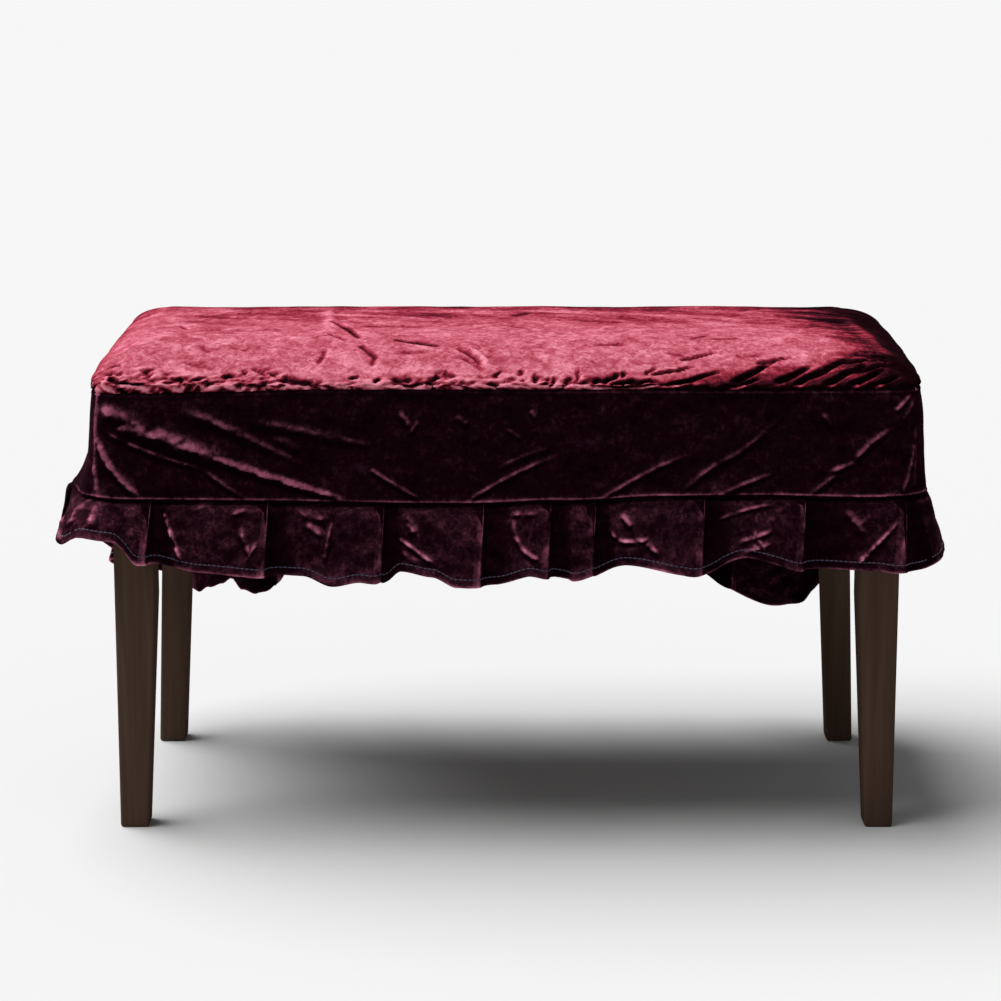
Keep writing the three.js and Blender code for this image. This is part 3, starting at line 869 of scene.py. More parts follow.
        # Start, end and half width.
        pockets = [
            (-383, 36, -371, 38, 2.5), (-352, 34, -336, 11, 3.0), (-385, 7, -360, 2, 3.0),
            (-370, 14, -343, 6, 3.0), (-388, 26, -364, 22, 2.8), (-330, 22, -316, 10, 3.0),
            (-337, 6, -322, -3, 3.4), (-314, 17, -310, 9, 2.8), (-306, 13, -298, 5, 2.8),
            (-297, 8, -290, 0, 2.8), (-289, 12, -282, 3, 2.6), (-309, 4, -302, -3, 3.0),
            (-270, 24, -264, 10, 2.8), (-262, 12, -255, 1, 2.8), (-256, 28, -253, 19, 2.6),
            (-245, 33, -241, 23, 2.6), (-236, 26, -231, 16, 2.6), (-227, 25, -217, 13, 3.0),
            (-250, 8, -247, -3, 2.6), (-241, 7, -239, -3, 2.4), (-233, 8, -231, -3, 2.6),
            (-224, 6, -221, -3, 2.4), (-216, 8, -214, -3, 2.6), (-214, 10, -181, 8, 5.0),
            (-186, 9, -162, 0, 4.0), (-151, 12, -138, 16, 2.8), (-150, 7, -145, -2, 3.0),
            (-127, 6, -120, 13, 2.8), (-108, 10, -76, 5, 5.0), (-68, 17, -58, 26, 3.0),
            (-58, 26, -48, 14, 3.0), (-73, -2, -67, 12, 3.0), (-46, 8, -35, 0, 3.4),
            (-11, 17, -4, 25, 3.4), (9, 24, 16, 17, 3.2), (24, 5, 32, 20, 2.8), (35, 3, 40, 15, 2.8),
            (42, 3, 45, 16, 2.4), (55, -1, 58, 20, 2.8), (64, 4, 71, 27, 2.8), (86, 3, 107, 20, 3.2),
            (109, 13, 119, 26, 2.8), (133, 18, 143, 30, 2.8), (-20, 5, -8, -2, 3.0),
        ]
        bays = [
            (-220, 13, -172, 2, 6.0), (-112, 9, -74, 3, 5.5), (-388, 14, -352, 8, 3.6),
            (-380, 4, -350, 0, 3.4), (-76, 2, -62, 20, 3.4), (80, 4, 112, 20, 3.6), (96, 3, 150, 12, 3.4),
        ]
        drags = [
            (84, 2, 150, 6, 3.0), (150, 3, 214, 29, 4.0), (166, 45, 208, 69, 3.2), (136, 20, 186, 36, 2.4),
            (212, 6, 262, 45, 5.2), (203, 1, 246, 14, 3.6), (240, 38, 280, 56, 2.8), (254, 5, 298, 38, 4.8),
            (274, 2, 308, 35, 4.4), (284, 9, 340, 61, 5.0), (302, 2, 352, 44, 4.6), (313, 40, 384, 60, 3.4),
            (324, 0, 370, 36, 4.4), (330, 22, 384, 50, 3.4), (344, 0, 384, 24, 3.8), (336, 64, 388, 64, 3.2),
        ]
        soft, long, narrow = (0.25, 0.25), (0.2, 0.35), 0.85
        hollows = [
            Crease((a, b), (c, d), -3.2, narrow * width, fade=soft, lip=0.45) for a, b, c, d, width in pockets
        ]
        hollows += [
            Crease((a, b), (c, d), -5.0, width, fade=soft, lip=0.2, taper=0.6) for a, b, c, d, width in bays
        ]
        slants = [
            Crease((a, b), (c, d), -5.4, width, bow=-2, fade=long, lip=0.6, taper=0.4)
            for a, b, c, d, width in drags
        ]
        return hollows, slants

    def axis(self, low: Side, high: Side, steps: int) -> tuple[np.ndarray, np.ndarray]:
        """Steps of the grid along one axis.

        Args:
            low: Side that the axis starts from.
            high: Side that it leads to.
            steps: Number of steps across the plateau.

        Returns:
            Places across the plateau, from -1 to 1, and rings past it.
        """

        def rings(side: Side) -> np.ndarray:
            """Steps from the plateau's edge out to the seam.

            Args:
                side: The side that they are on.

            Returns:
                The steps' rings.
            """
            seam = self.shoulder_rings + self.wall_rings
            shoulder = np.linspace(0.0, self.shoulder_rings, self.shoulder_steps[side] + 1)[1:]
            wall = np.linspace(self.shoulder_rings, seam, self.wall_steps[side] + 1)[1:]
            return np.concatenate((shoulder, wall))

        before, after = rings(low)[::-1], rings(high)
        plateau = np.linspace(-1.0, 1.0, steps + 1)
        place = np.concatenate((-np.ones_like(before), plateau, np.ones_like(after)))
        ring = np.concatenate((before, np.zeros_like(plateau), after))
        return place, ring

    def power(
        self, side: np.ndarray, at_front: np.ndarray, to_corner: np.ndarray, x: np.ndarray,
    ) -> np.ndarray:
        """How square the shoulder is.

        Args:
            side: Number of the side that each place is on.
            at_front: Which places lead to one of the front corners.
            to_corner: How far the places are from the side's middle to the corner's, from 0 to 1.
            x: Distances across, since the front's slope gets rounder to the right.

        Returns:
            The superellipse's power at each place.
        """
        rounder = self.rounder_right * rise(x, *self.right_stretch)
        power = np.array(self.powers)[side] + np.where(side == Side.FRONT, rounder, 0.0)
        front_left, front_right, back = self.corner_powers
        corner = np.where(at_front, np.where(x < 0.0, front_left, front_right), back)
        return power + (corner - power) * smooth(to_corner)

    def plateau(self, across: np.ndarray, deep: np.ndarray) -> tuple[np.ndarray, np.ndarray]:
        """Points of the flat top.

        Args:
            across: Places across it, from -1 to 1.
            deep: Places from its front to its back, from -1 to 1.

        Returns:
            The points' X and Y.
        """
        outline = self.drape.outline
        front, right, back, left = self.shoulders
        x = np.interp(across, (-1.0, 1.0), (left - outline.half_width, outline.half_width - right))
        y = np.interp(deep, (-1.0, 1.0), (front - outline.half_depth, outline.half_depth - back))
        return x, y

    def points(self) -> tuple[np.ndarray, np.ndarray]:
        """The smooth panel, before it is creased.

        Returns:
            Its points, and the distance round the outline that each leads to.
        """
        outline = self.drape.outline
        across, across_ring = (a[None, :] for a in self.axis(Side.LEFT, Side.RIGHT, self.plateau_steps[0]))
        deep, deep_ring = (a[:, None] for a in self.axis(Side.FRONT, Side.BACK, self.plateau_steps[1]))
        faces_y = deep_ring > across_ring
        ring = np.maximum(deep_ring, across_ring)
        ratio = np.minimum(deep_ring, across_ring) / np.maximum(ring, TINY)
        side_y = np.where(deep < 0.0, int(Side.FRONT), int(Side.BACK))
        side_x = np.where(across > 0.0, int(Side.RIGHT), int(Side.LEFT))
        side = np.where(faces_y, side_y, side_x)
        run = np.where(faces_y, across, deep)
        hand = np.where((side == Side.FRONT) | (side == Side.RIGHT), 1.0, -1.0)
        arc = ratio * outline.corner * math.pi / 4.0
        along = hand * (run * outline.straights[side] + np.sign(run) * arc)
        place = outline.starts[side] + outline.halves[side] + along
        edge, outward = outline.at(place)
        edge = edge - outward * self.drape.pulled_in(place)[..., None]
        flat_x, flat_y = self.plateau(across, deep)
        turn = np.minimum(ring / self.shoulder_rings, 1.0) * math.pi / 2.0
        bend = 2.0 / self.power(side, deep < 0.0, (np.abs(run) + ratio) / 2.0, flat_x)
        out = np.sin(turn) ** bend
        down = 1.0 - np.clip(np.cos(turn), 0.0, 1.0) ** bend
        x = flat_x + (edge[..., 0] - flat_x) * out
        y = flat_y + (edge[..., 1] - flat_y) * out
        bulge = self.crown * (1.0 - across**2) * (1.0 - deep**2)
        shoulder = self.plateau_height + bulge - (self.plateau_height - self.foot) * down
        seam = self.drape.seam(place) - self.drape.sink(place)
        z = shoulder + (seam - shoulder) * np.maximum(0.0, ring - self.shoulder_rings) / self.wall_rings
        sharp = np.stack((x, y, z), axis=-1)
        blur_in, blur_out = self.blur_rings
        corner = rise(ratio, *self.corner_stretch) * rise(ring, 0.0, blur_in)
        corner = corner * rise(self.shoulder_rings - ring, 0.0, blur_out)
        return sharp + (blurred(sharp, self.blur_steps) - sharp) * corner[..., None], place

    def puckers(self, spread: Spread) -> np.ndarray:
        """Puckers and crinkles above the front seam.

        Args:
            spread: Where the panel's points lie.

        Returns:
            Their height at each point.
        """
        warps = (self.fine_warp, self.broad_warp)
        fine, broad = (np.stack([layer.at(spread.flat) for layer in layers]) for layers in warps)
        here = np.stack((spread.across, spread.up))
        hollows, slants = self.gathers()
        hollowed = lowest_relief(hollows, *(here + fine + broad))
        dragged = lowest_relief(slants, *(here + self.drag_warp * broad))
        return np.minimum(hollowed, dragged) + self.crinkle(spread)

    def crinkle(self, spread: Spread) -> np.ndarray:
        """Fine slanted crinkles between the puckers above the front seam.

        Args:
            spread: Where the panel's points lie.

        Returns:
            Their height at each point.
        """
        height = np.interp(spread.across, *np.array(self.crinkled).T) * self.crinkle_edge.at(spread.flat)
        slanted = np.stack((spread.across, spread.up), axis=-1) @ np.array(self.ripple_slant).T
        ripples = layered(self.ripples, slanted)
        strip = rise(height - spread.up, 0.0, self.crinkle_fade) * rise(spread.up, *self.crinkle_start)
        return strip * np.where(ripples < 0.0, *self.ripple_heights) * ripples

    def looseness(self, spread: Spread) -> np.ndarray:
        """The cloth's soft waves, its gathers along the seams and its loft.

        Args:
            spread: Where the panel's points lie.

        Returns:
            Their height at each point.
        """
        at_seam = np.stack((spread.place, spread.from_edge), axis=-1)
        gather = seam_gather(self.gather, at_seam, spread.from_edge, self.gather_reach)
        gather = gather * np.where(spread.up > spread.from_edge + EDGE_MARGIN, 1.0, self.front_gather)
        loft = self.loft * rise(spread.from_edge, 0.0, self.loft_reach)
        return gather + layered(self.slack, spread.flat) + loft

    def kept_up(self, relief: np.ndarray, spread: Spread) -> np.ndarray:
        """Softly stops troughs above the seat, and turns the panel's edge in.

        Args:
            relief: Height of all folds.
            spread: Where the panel's points lie.

        Returns:
            The height that is left at each point.
        """
        room = self.least_room + self.edge_room * (1.0 - rise(spread.from_edge, *self.edge_room_stretch))
        over = relief + room
        relief = relief + (np.hypot(over, self.room_softness) - over) / 2.0
        return relief + seam_relief(spread.from_edge, 0.0, self.seam_turn_in)

    def shade(self, spread: Spread, creases: np.ndarray, puckers: np.ndarray) -> np.ndarray:
        """Painted shade and painted light, added to what the painted light's direction alone gives.

        Args:
            spread: Where the panel's points lie.
            creases: Height of the creases there.
            puckers: Height of the puckers there.

        Returns:
            What the painted light level gains at each point.
        """
        flat, up = spread.flat, spread.up
        shade = self.crease_shade * np.clip(creases, *self.crease_span)
        shade = shade + self.gather_shade * np.clip(puckers, *self.gather_span)
        streaked = spread.across + layered(self.shaded_area_streaks, flat)
        shade = shade - sum(shaded_area.shade(streaked, up) for shaded_area in self.shaded_areas) * self.shaded_area_mottle.at(flat)
        shade = shade - self.far_shade * rise(up, *self.far_stretch) * self.far_mottle.at(flat)
        lit = 1.0 - rise(spread.across, *self.unlit_stretch)
        shade = shade + self.fringe_light * fall(up, self.fringe_height) * lit
        return shade + self.edge_light * fall(up, self.edge_height) * lit * self.edge_mottle.at(flat)

    def sheet(self) -> Cloth:
        """Makes the panel's cloth.

        Returns:
            The creased panel.
        """
        points, place = self.points()
        spread = Spread.measured(points, place)
        creases = total_relief(self.creases(), spread.across, spread.up)
        puckers = self.puckers(spread)
        relief = self.kept_up(creases + puckers + self.looseness(spread), spread)
        outward = grid_normals(points)
        creased = points + outward * relief[..., None]
        inner = points + outward * (lowest_near(relief, self.inner_reach) - self.thickness)[..., None]
        # Painted light: the smooth panel's blurred normals against the painted light's direction, with the
        # creases' turn of the normals calmed near the corners, then painted shade and painted light.
        to_corner = np.abs(self.drape.outline.past(place[..., None], self.drape.outline.starts)).min(axis=-1)
        turned = (grid_normals(creased) - outward) * rise(to_corner, 0.0, self.corner_calm)[..., None]
        painted_light = (blurred(outward, self.painted_lighting_blur) + turned) @ np.array(self.painted_lighting)
        painted_light = painted_light + self.shade(spread, creases, puckers)
        painted_light = painted_light + self.back_light * rise(outward[..., 1], *self.back_stretch)
        painted_light = np.minimum(painted_light, self.lightest)
        return Cloth("top_panel", creased, spread.flat, painted_light, inner, inner_every=2, thickness=self.thickness)


@dataclass
class Band:
    """The four band panels that hang from the top panel, with their drag folds.

    Values for the four sides are in the sides' order, and sizes in millimetres. A pair named for a stretch
    has its start and its run.
    """

    drape: Drape
    cuts: tuple[Pair, ...] = ((0.81, 0.112), (0.37, 0.112), (0.81, 0.112), (0.37, 0.112))
    height: float = 105.0
    gap: float = 0.3
    flare_power: float = 3.0
    column_steps: tuple[float, ...] = (1.75, 3.0, 3.0, 3.0)
    row_steps: tuple[float, ...] = (1.6, 3.0, 3.0, 3.0)
    edge_rows: tuple[float, ...] = (0.0, 0.7, 1.4, 2.1, 2.8, 3.5, 4.2, 5.2)

    # The cloth's own looseness, and how its folds die away at the seams and are broken on their way.
    slack: tuple[Rumple, ...] = (Rumple(0.9, 46.0, 2.3), Rumple(0.5, 17.0, 7.9))
    breaks: tuple[Rumple, ...] = (Rumple(0.7, 12.0, 1.1, base=0.85), Rumple(0.3, 5.0, 5.5))
    break_span: Pair = (0.2, 1.5)
    ease: float = 12.0
    gather: Rumple = Rumple(0.9, 13.0, 4.4, (1.0, 0.3))
    gather_reach: float = 14.0

    # The seams: heights of their rolls, turned edges, and the edge sewn in where the seam hangs lower.
    seam_beads: Pair = (0.3, 0.75)
    seam_turn_in: float = 1.6
    pull_reach: float = 18.0
    sewn_drop: float = 30.0
    sewn_back: Pair = (3.4, 4.2)
    sewn_up: Pair = (3.0, 2.6)

    # Painted light: a base level, a painted highlight line under the upper seam on the right and an uneven
    # painted light line above the lower seam.
    painted_light: float = 0.15
    lightest: float = 0.70
    calm_stretch: Pair = (1.0, 7.0)
    lit_end: float = 5.0
    upper_light: float = 0.20
    upper_line: Pair = (2.4, 1.3)
    upper_stretch: Pair = (10.0, 60.0)
    upper_mottle: Rumple = Rumple(0.8, 24.0, 0.9, base=0.6)
    lower_line: float = 4.0
    lower_mottle: Rumple = Rumple(0.5, 38.0, 3.3)

    def folds(self, side: Side) -> list[Crease]:
        """Drag folds of a panel.

        Args:
            side: The panel's side.

        Returns:
            The folds, by distance along from the side's middle and down from the upper edge.
        """
        soft, low, ends = (0.12, 0.3), (0.05, 0.4), (0.1, 0.1)
        # Start, end, height, half width, and for some a bow, fades, painted highlight, lip and taper.
        rows = {
            Side.FRONT: [
                (-402, 14, -256, 72, 4.6, 11, 4, (0.15, 0.35), 0, 0.1, 0.6),
                (-320, 50, -152, 110, 4.2, 5, 2, (0.4, 0.04), 0.20, 0.1, 0.5),
                (-394, 32, -280, 78, 1.6, 4, 5, soft, 0, 0.2, 0.6),
                (-318, 16, -180, 84, 1.8, 6, -3, (0.2, 0.5), 0, 0.2, 0.5),
                (-262, 28, -120, 62, 1.2, 5, -3, (0.3, 0.5), 0, 0.2),
                (-398, -6, -398, 56, 1.0, 3.0, 0, (0.0, 0.1), 0.60, 0.1),
                (-398, 50, -389, 107, 1.8, 2.8, 3, (0.1, 0.0), 0.48, 0.1),
                (-397, 42, -350, 106, 3.4, 3.4, 5, (0.1, 0.05), 0.36, 0.2),
                (-292, 76, -245, 108, 1.4, 2.4, 2, soft), (-133, 78, -84, 108, 1.8, 2.4, 0, ends),
                (-36, 109, 56, 62, 1.8, 2.6, -3, (0.05, 0.5)), (-14, 82, 48, 56, 0.9, 3, -3, (0.3, 0.4)),
                (88, 110, 180, 62, 1.9, 2.6, -3, low), (168, 100, 204, 72, 1.2, 3, 0, (0.3, 0.1)),
                (200, 76, 268, 22, 1.2, 3.4, 4, (0.1, 0.5)), (194, 110, 264, 80, 1.8, 2.4, -2, low),
                (290, 106, 322, 80, 1.2, 3, 0, soft), (310, 82, 338, 70, 1.8, 3, 0, (0.3, 0.4), 0.10),
                (332, 74, 374, 36, 2.0, 3.4, -3, (0.3, 0.3), 0.06),
                (372, 22, 392, 4, 1.2, 2.6, 0, soft, 0.24),
                (380, 30, 394, 12, 0.8, 2.4, 0, soft, 0.20), (380, 106, 394, 36, 2.2, 2, 3, (0.1, 0.3), 0.22),
                (393, 100, 395, 34, 1.2, 2, 0, (0.1, 0.3), 0.22), (332, 105, 368, 105, 0.6, 2, 0, ends, 0.34),
                (-104, 20, -92, 40, 2.0, 3.4, 0, (0.3, 0.3), 0.10), (-84, 30, -94, 46, 1.4, 2.6),
                (-50, 26, -36, 36, 1.5, 3.4), (-2, 38, 16, 50, 1.2, 2.4), (22, 20, 28, 30, 1.2, 2.6),
                (302, 22, 312, 40, 1.2, 3), (-226, 46, -196, 60, 1.2, 5), (-168, 48, -128, 56, 1.0, 4),
            ],
            Side.RIGHT: [
                (-128, 28, -20, 98, 3.4, 10, 3, (0.3, 0.3), 0, 0.1, 0.6),
                (40, 100, 150, 30, 3.0, 10, -3, soft, 0, 0.1, 0.6), (-90, 26, -30, 60, 1.2, 5, 0, soft),
                (-66, 108, -14, 66, 1.8, 2.8, -2, low), (62, 108, 128, 70, 1.8, 2.8, -2, low),
            ],
            Side.BACK: [
                (-360, 18, -210, 100, 3.6, 11, 4, soft, 0, 0.1, 0.6),
                (-40, 100, 80, 40, 2.8, 10, -4, soft, 0, 0.1, 0.6),
                (215, 100, 355, 20, 3.6, 11, -4, soft, 0, 0.1, 0.6),
                (-150, 30, -80, 70, 1.2, 6, 0, soft), (110, 96, 170, 60, 1.4, 5, 0, soft),
                (-262, 108, -190, 64, 1.8, 2.8, -2, low), (-120, 108, -62, 70, 1.6, 2.6, -2, low),
                (70, 108, 20, 66, 1.8, 2.8, 2, low), (196, 108, 140, 72, 1.6, 2.6, 2, low),
                (340, 108, 300, 60, 1.8, 2.8, 2, low),
            ],
            Side.LEFT: [
                (174, -6, 174, 56, 1.0, 2.4, 0, (0.0, 0.1), 0.60, 0.1),
                (-150, 30, -50, 100, 3.2, 10, 3, soft, 0, 0.1, 0.6),
                (0, 98, 135, 34, 2.6, 9, -3, soft, 0, 0.1, 0.6), (-60, 24, -10, 54, 1.2, 5, 0, soft),
                (-104, 108, -58, 66, 1.8, 2.8, -2, low), (60, 108, 108, 70, 1.6, 2.6, -2, low),
            ],
        }
        return laid(rows[side])

    def rows(self, side: Side) -> np.ndarray:
        """Rows of a panel, finer at both edges.

        Args:
            side: The panel's side.

        Returns:
            Their distances down from the upper edge, from the lowest up.
        """
        edge = np.array(self.edge_rows)
        low, high = self.height - edge[-1], edge[-1]
        inner = np.linspace(low, high, round((low - high) / self.row_steps[side]) + 1)
        return np.concatenate((self.height - edge[:-1], inner, edge[-2::-1]))

    def sheet(self, side: Side) -> Cloth:
        """Makes the cloth of one panel.

        Args:
            side: The panel's side.

        Returns:
            The folded panel.
        """
        outline = self.drape.outline
        half = outline.halves[side] - self.gap / 2.0
        along = np.linspace(-half, half, round(2.0 * half / self.column_steps[side]) + 1)[None, :]
        down = self.rows(side)[:, None]
        place = outline.starts[side] + outline.halves[side] + along
        flat = np.stack(np.broadcast_arrays(place, down), axis=-1)
        to_seam = np.minimum(down, self.height - down)
        clear = rise(to_seam, 0.0, self.ease)
        broken = np.clip(layered(self.breaks, flat), *self.break_span)
        sink = self.drape.sink(place)
        lower = down * (1.0 + (self.drape.dip(place) - sink) / self.height)
        folds = self.folds(side)
        ridges = highest_relief(folds, along, lower) * clear * broken
        relief = ridges + layered(self.slack, flat) * clear
        relief = relief + seam_gather(self.gather, flat, to_seam, self.gather_reach)
        bead = np.where(down < to_seam + EDGE_MARGIN, *self.seam_beads)
        relief = relief + seam_relief(to_seam, bead, self.seam_turn_in)
        seam = self.drape.seam(place)
        sewn_in = smooth((self.drape.seam_front - seam) / self.sewn_drop)
        offset = self.drape.hang(place)[0] * (down / self.height) ** self.flare_power + relief
        offset = offset - self.drape.pulled_in(place) * bell(down, 0.0, self.pull_reach)
        offset = offset - self.sewn_back[0] * sewn_in * fall(down, self.sewn_back[1])
        z = seam - sink - self.gap - lower + self.sewn_up[0] * sewn_in * fall(down, self.sewn_up[1])
        points = outline.beside(place, offset, z)
        plain = outline.beside(place, offset - relief, z)
        # Painted highlights where folds turn upwards and along their crests, calmed near the upper seam, and
        # painted light lines at both seams.
        painted_light = hanging_painted_light(points, plain, ridges, self.painted_light) + highest_light(folds, along, lower) * broken
        to_end = half - along if side == Side.LEFT else half + along
        shown = np.where(to_end < self.lit_end, 1.0, rise(down, *self.calm_stretch))
        painted_light = self.painted_light + (painted_light - self.painted_light) * shown
        if side == Side.FRONT:
            line = rise(along, *self.upper_stretch) * self.upper_mottle.at(flat)
            painted_light = painted_light + self.upper_light * line * bell(down, *self.upper_line)
        painted_light = painted_light + bell(self.height - down, 0.0, self.lower_line) * self.lower_mottle.at(flat)
        return Cloth(f"band_panel_{side.label}", points, flat, np.minimum(painted_light, self.lightest))


@dataclass(frozen=True)
class Pleat:
    """A knife pleat.

    Attributes:
        along: Distance of its fold's edge along the side from its middle.
        depth: How far it stands out at the hem.
        recess: How far the painted shade on the cloth beside it reaches.
    """

    along: float
    depth: float
    recess: float = 14.0


def spline(points: tuple[Pair, ...], steps: int) -> np.ndarray:
    """A smooth curve through points.

    Args:
        points: The points that it passes through.
        steps: Number of steps between two points.

    Returns:
        Points of the curve, without the last one.
    """
    given = np.array(points)
    padded = np.concatenate((given[:1], given, given[-1:]))
    t = np.linspace(0.0, 1.0, steps + 1)[:-1, None]
    curve = []
    for a, b, c, d in zip(padded[:-3], padded[1:-2], padded[2:-1], padded[3:]):
        bent = 2 * b + (c - a) * t + (2 * a - 5 * b + 4 * c - d) * t**2 + (3 * b - a - 3 * c + d) * t**3
        curve.append(bent / 2.0)
    return np.concatenate(curve)


@dataclass
class Ruffle:
    """The pleated ruffle sewn under the band, with its rolled and stitched hem.

    Values for the four sides are in the sides' order, and sizes in millimetres. A pair named for a stretch
    has its start and its run.
    """

    drape: Drape
    cuts: tuple[Pair, ...] = ((1.08, 0.085), (0.46, 0.085), (1.05, 0.085), (0.46, 0.085))
    band_height: float = 105.0
    band_flare_power: float = 3.0
    height: float = 77.0
    gap: float = 0.6
    flare_power: float = 0.7

    # How far the cloth lies behind the band, more at the seam, and goes on above it.
    tuck: float = 1.3
    sewn_in: float = 6.5
    sewn_reach: float = 3.6
    allowance: tuple[float, ...] = (1.6, 3.2, 4.8)

    # The pleats, which lap over each other less and open more towards the hem.
    pleats: dict[Side, tuple[Pleat, ...]] = field(default_factory=lambda: {
        Side.FRONT: (
            Pleat(-343, 13, 8), Pleat(-230, 15, 12), Pleat(-118, 11, 6), Pleat(-22, 13, 24),
            Pleat(43, 16, 30), Pleat(86, 9, 5), Pleat(191, 14, 14), Pleat(288, 15, 44), Pleat(383, 10, 9),
        ),
        Side.RIGHT: (Pleat(-88, 14), Pleat(12, 12), Pleat(118, 15)),
        Side.BACK: (
            Pleat(-352, 13), Pleat(-250, 15), Pleat(-148, 12), Pleat(-52, 14), Pleat(61, 13), Pleat(160, 15),
            Pleat(262, 16), Pleat(358, 12),
        ),
        Side.LEFT: (Pleat(-102, 13), Pleat(4, 15), Pleat(109, 13)),
    })
    seam_depth: float = 3.6
    overlap: float = 4.0
    seam_overlap: float = 9.0
    opening: float = 24.0
    # A fold's section: distance back from its edge, in overlaps, and share of its depth.
    section: tuple[Pair, ...] = (
        (2.6, 0.80), (1.4, 0.95), (0.5, 1.0), (0.12, 0.97), (0.0, 0.88), (0.12, 0.77), (0.5, 0.68),
        (0.88, 0.55), (1.0, 0.42), (0.88, 0.26), (0.5, 0.13), (-0.2, 0.04), (-1.0, 0.0),
    )
    section_steps: int = 4
    face_stretch: Pair = (0.4, 1.2)
    belly_steps: tuple[float, ...] = (1.8, 3.2, 3.2, 3.2)
    fewest_steps: int = 4
    belly_power: float = 0.8
    belly_start: float = 8.0
    rows_above_hem: int = 34

    # Distances of the hem's rows from its edge. The stitches run along one of them, in a groove.
    hem_rows: tuple[float, ...] = (0.0, 1.2, 2.8, 5.0, 6.4, 7.6, 8.8, 10.2, 13.0)
    stitch_row: int = 5
    hem_proud: float = 0.5
    hem_step: float = 2.0
    hem_edge: float = 2.0
    stitch_groove: float = 1.3

    # The cloth's own looseness, calm at the seam and less at the hem, and how its ridges are broken.
    slack: tuple[Rumple, ...] = (Rumple(1.4, 34.0, 8.3, (1.0, 0.6)), Rumple(0.7, 14.0, 2.9))
    breaks: tuple[Rumple, ...] = (Rumple(0.9, 9.0, 1.1, base=0.8), Rumple(0.5, 4.0, 5.5))
    break_span: Pair = (0.15, 1.5)
    seam_calm: float = 8.0
    hem_stretch: Pair = (-6.0, 18.0)

    # Painted light: painted shade to the right and in the recesses, painted highlights on the pleats' crests
    # and the hem's edge.
    painted_light: float = 0.272
    right_shade: float = 0.05
    right_stretch: Pair = (120.0, 200.0)
    recess_shade: float = 0.20
    recess_from: float = 0.8
    crest_light: float = 0.42
    crest_line: Pair = (0.93, 0.08)
    crest_back: float = 0.6
    crest_mottle: Rumple = Rumple(0.9, 16.0, 1.7, base=0.55)
    hem_light: float = 0.60
    hem_line: float = 2.0
    hem_mottle: Rumple = Rumple(0.9, 22.0, 6.4, base=0.6)

    def drifts(self) -> list[Crease]:
        """Soft ridges of the front, by distance along from its middle and down from the seam."""
        soft, from_seam, ends = (0.3, 0.3), (0.0, 0.3), (0.2, 0.2)
        # Start, end, height, half width, bow, fades and painted highlight.
        return laid([
            (-331, 14, -314, 61, 3.4, 2.2, 0, (0.05, 0.1), 0.46),
            (-399, 0, -402, 30, 2.6, 2, 0, from_seam, 0.32),
            (-389, 0, -387, 28, 2.6, 2, 0, from_seam, 0.26), (-414, 20, -407, 48, 3.0, 2.6, 0, soft, 0.24),
            (-418, 34, -398, 44, 2.0, 2.4, 0, soft, 0.20), (-362, 2, -358, 40, 1.6, 2.2, 0, soft, 0.10),
            (-300, 8, -282, 5, 1.4, 2.4, 0, soft, 0.34), (-256, 24, -242, 60, 2.0, 3, 3, soft, 0.12),
            (-252, 60, -238, 38, 1.8, 2.2, 0, soft, 0.20), (-266, 16, -250, 10, 1.2, 2.4, 0, soft, 0.12),
            (-202, 12, -170, 20, 1.6, 2.6, 3, soft, 0.12), (-194, 22, -174, 36, 2.2, 4, 2, soft, 0.18),
            (-168, 20, -176, 60, 1.6, 2, 0, ends, 0.16), (-100, 14, -88, 36, 2.2, 4, 0, soft, 0.16),
            (-108, 36, -66, 64, 2.2, 2, 0, (0.15, 0.2), 0.24), (-104, 50, -84, 62, 1.2, 3, 0, soft, 0.08),
            (2, 16, 32, 14, 1.4, 2, 0, soft, 0.24), (6, 20, 8, 36, 1.8, 2.6, 0, soft, 0.18),
            (6, 32, 36, 58, 2.4, 2.6, 5, ends, 0.28), (92, 6, 107, 40, 2.4, 2.2, 5, (0.1, 0.1), 0.32),
            (106, 40, 140, 37, 2.2, 2.4, 3, (0.1, 0.3), 0.28), (110, 15, 121, 30, 2.0, 3.6, 0, soft, 0.18),
            (132, 40, 148, 54, 1.4, 3, 0, soft, 0.10), (198, 24, 262, 5, 1.2, 2, -3, soft, 0.18),
            (218, 42, 258, 27, 1.8, 2.6, 3, soft, 0.16), (224, 54, 256, 41, 1.6, 2.4, 0, soft, 0.16),
            (236, 28, 254, 60, 1.4, 2.4, 0, soft, 0.12), (324, 10, 348, 36, 2.0, 4, 0, soft, 0.16),
            (332, 32, 352, 15, 1.4, 3, 0, soft, 0.10), (386, 12, 337, 63, 2.4, 2.2, 0, (0.05, 0.12), 0.34),
            (392, 2, 392, 30, 2.2, 2, 0, from_seam, 0.26), (398, 20, 402, 60, 1.8, 2, 0, soft, 0.16),
        ])

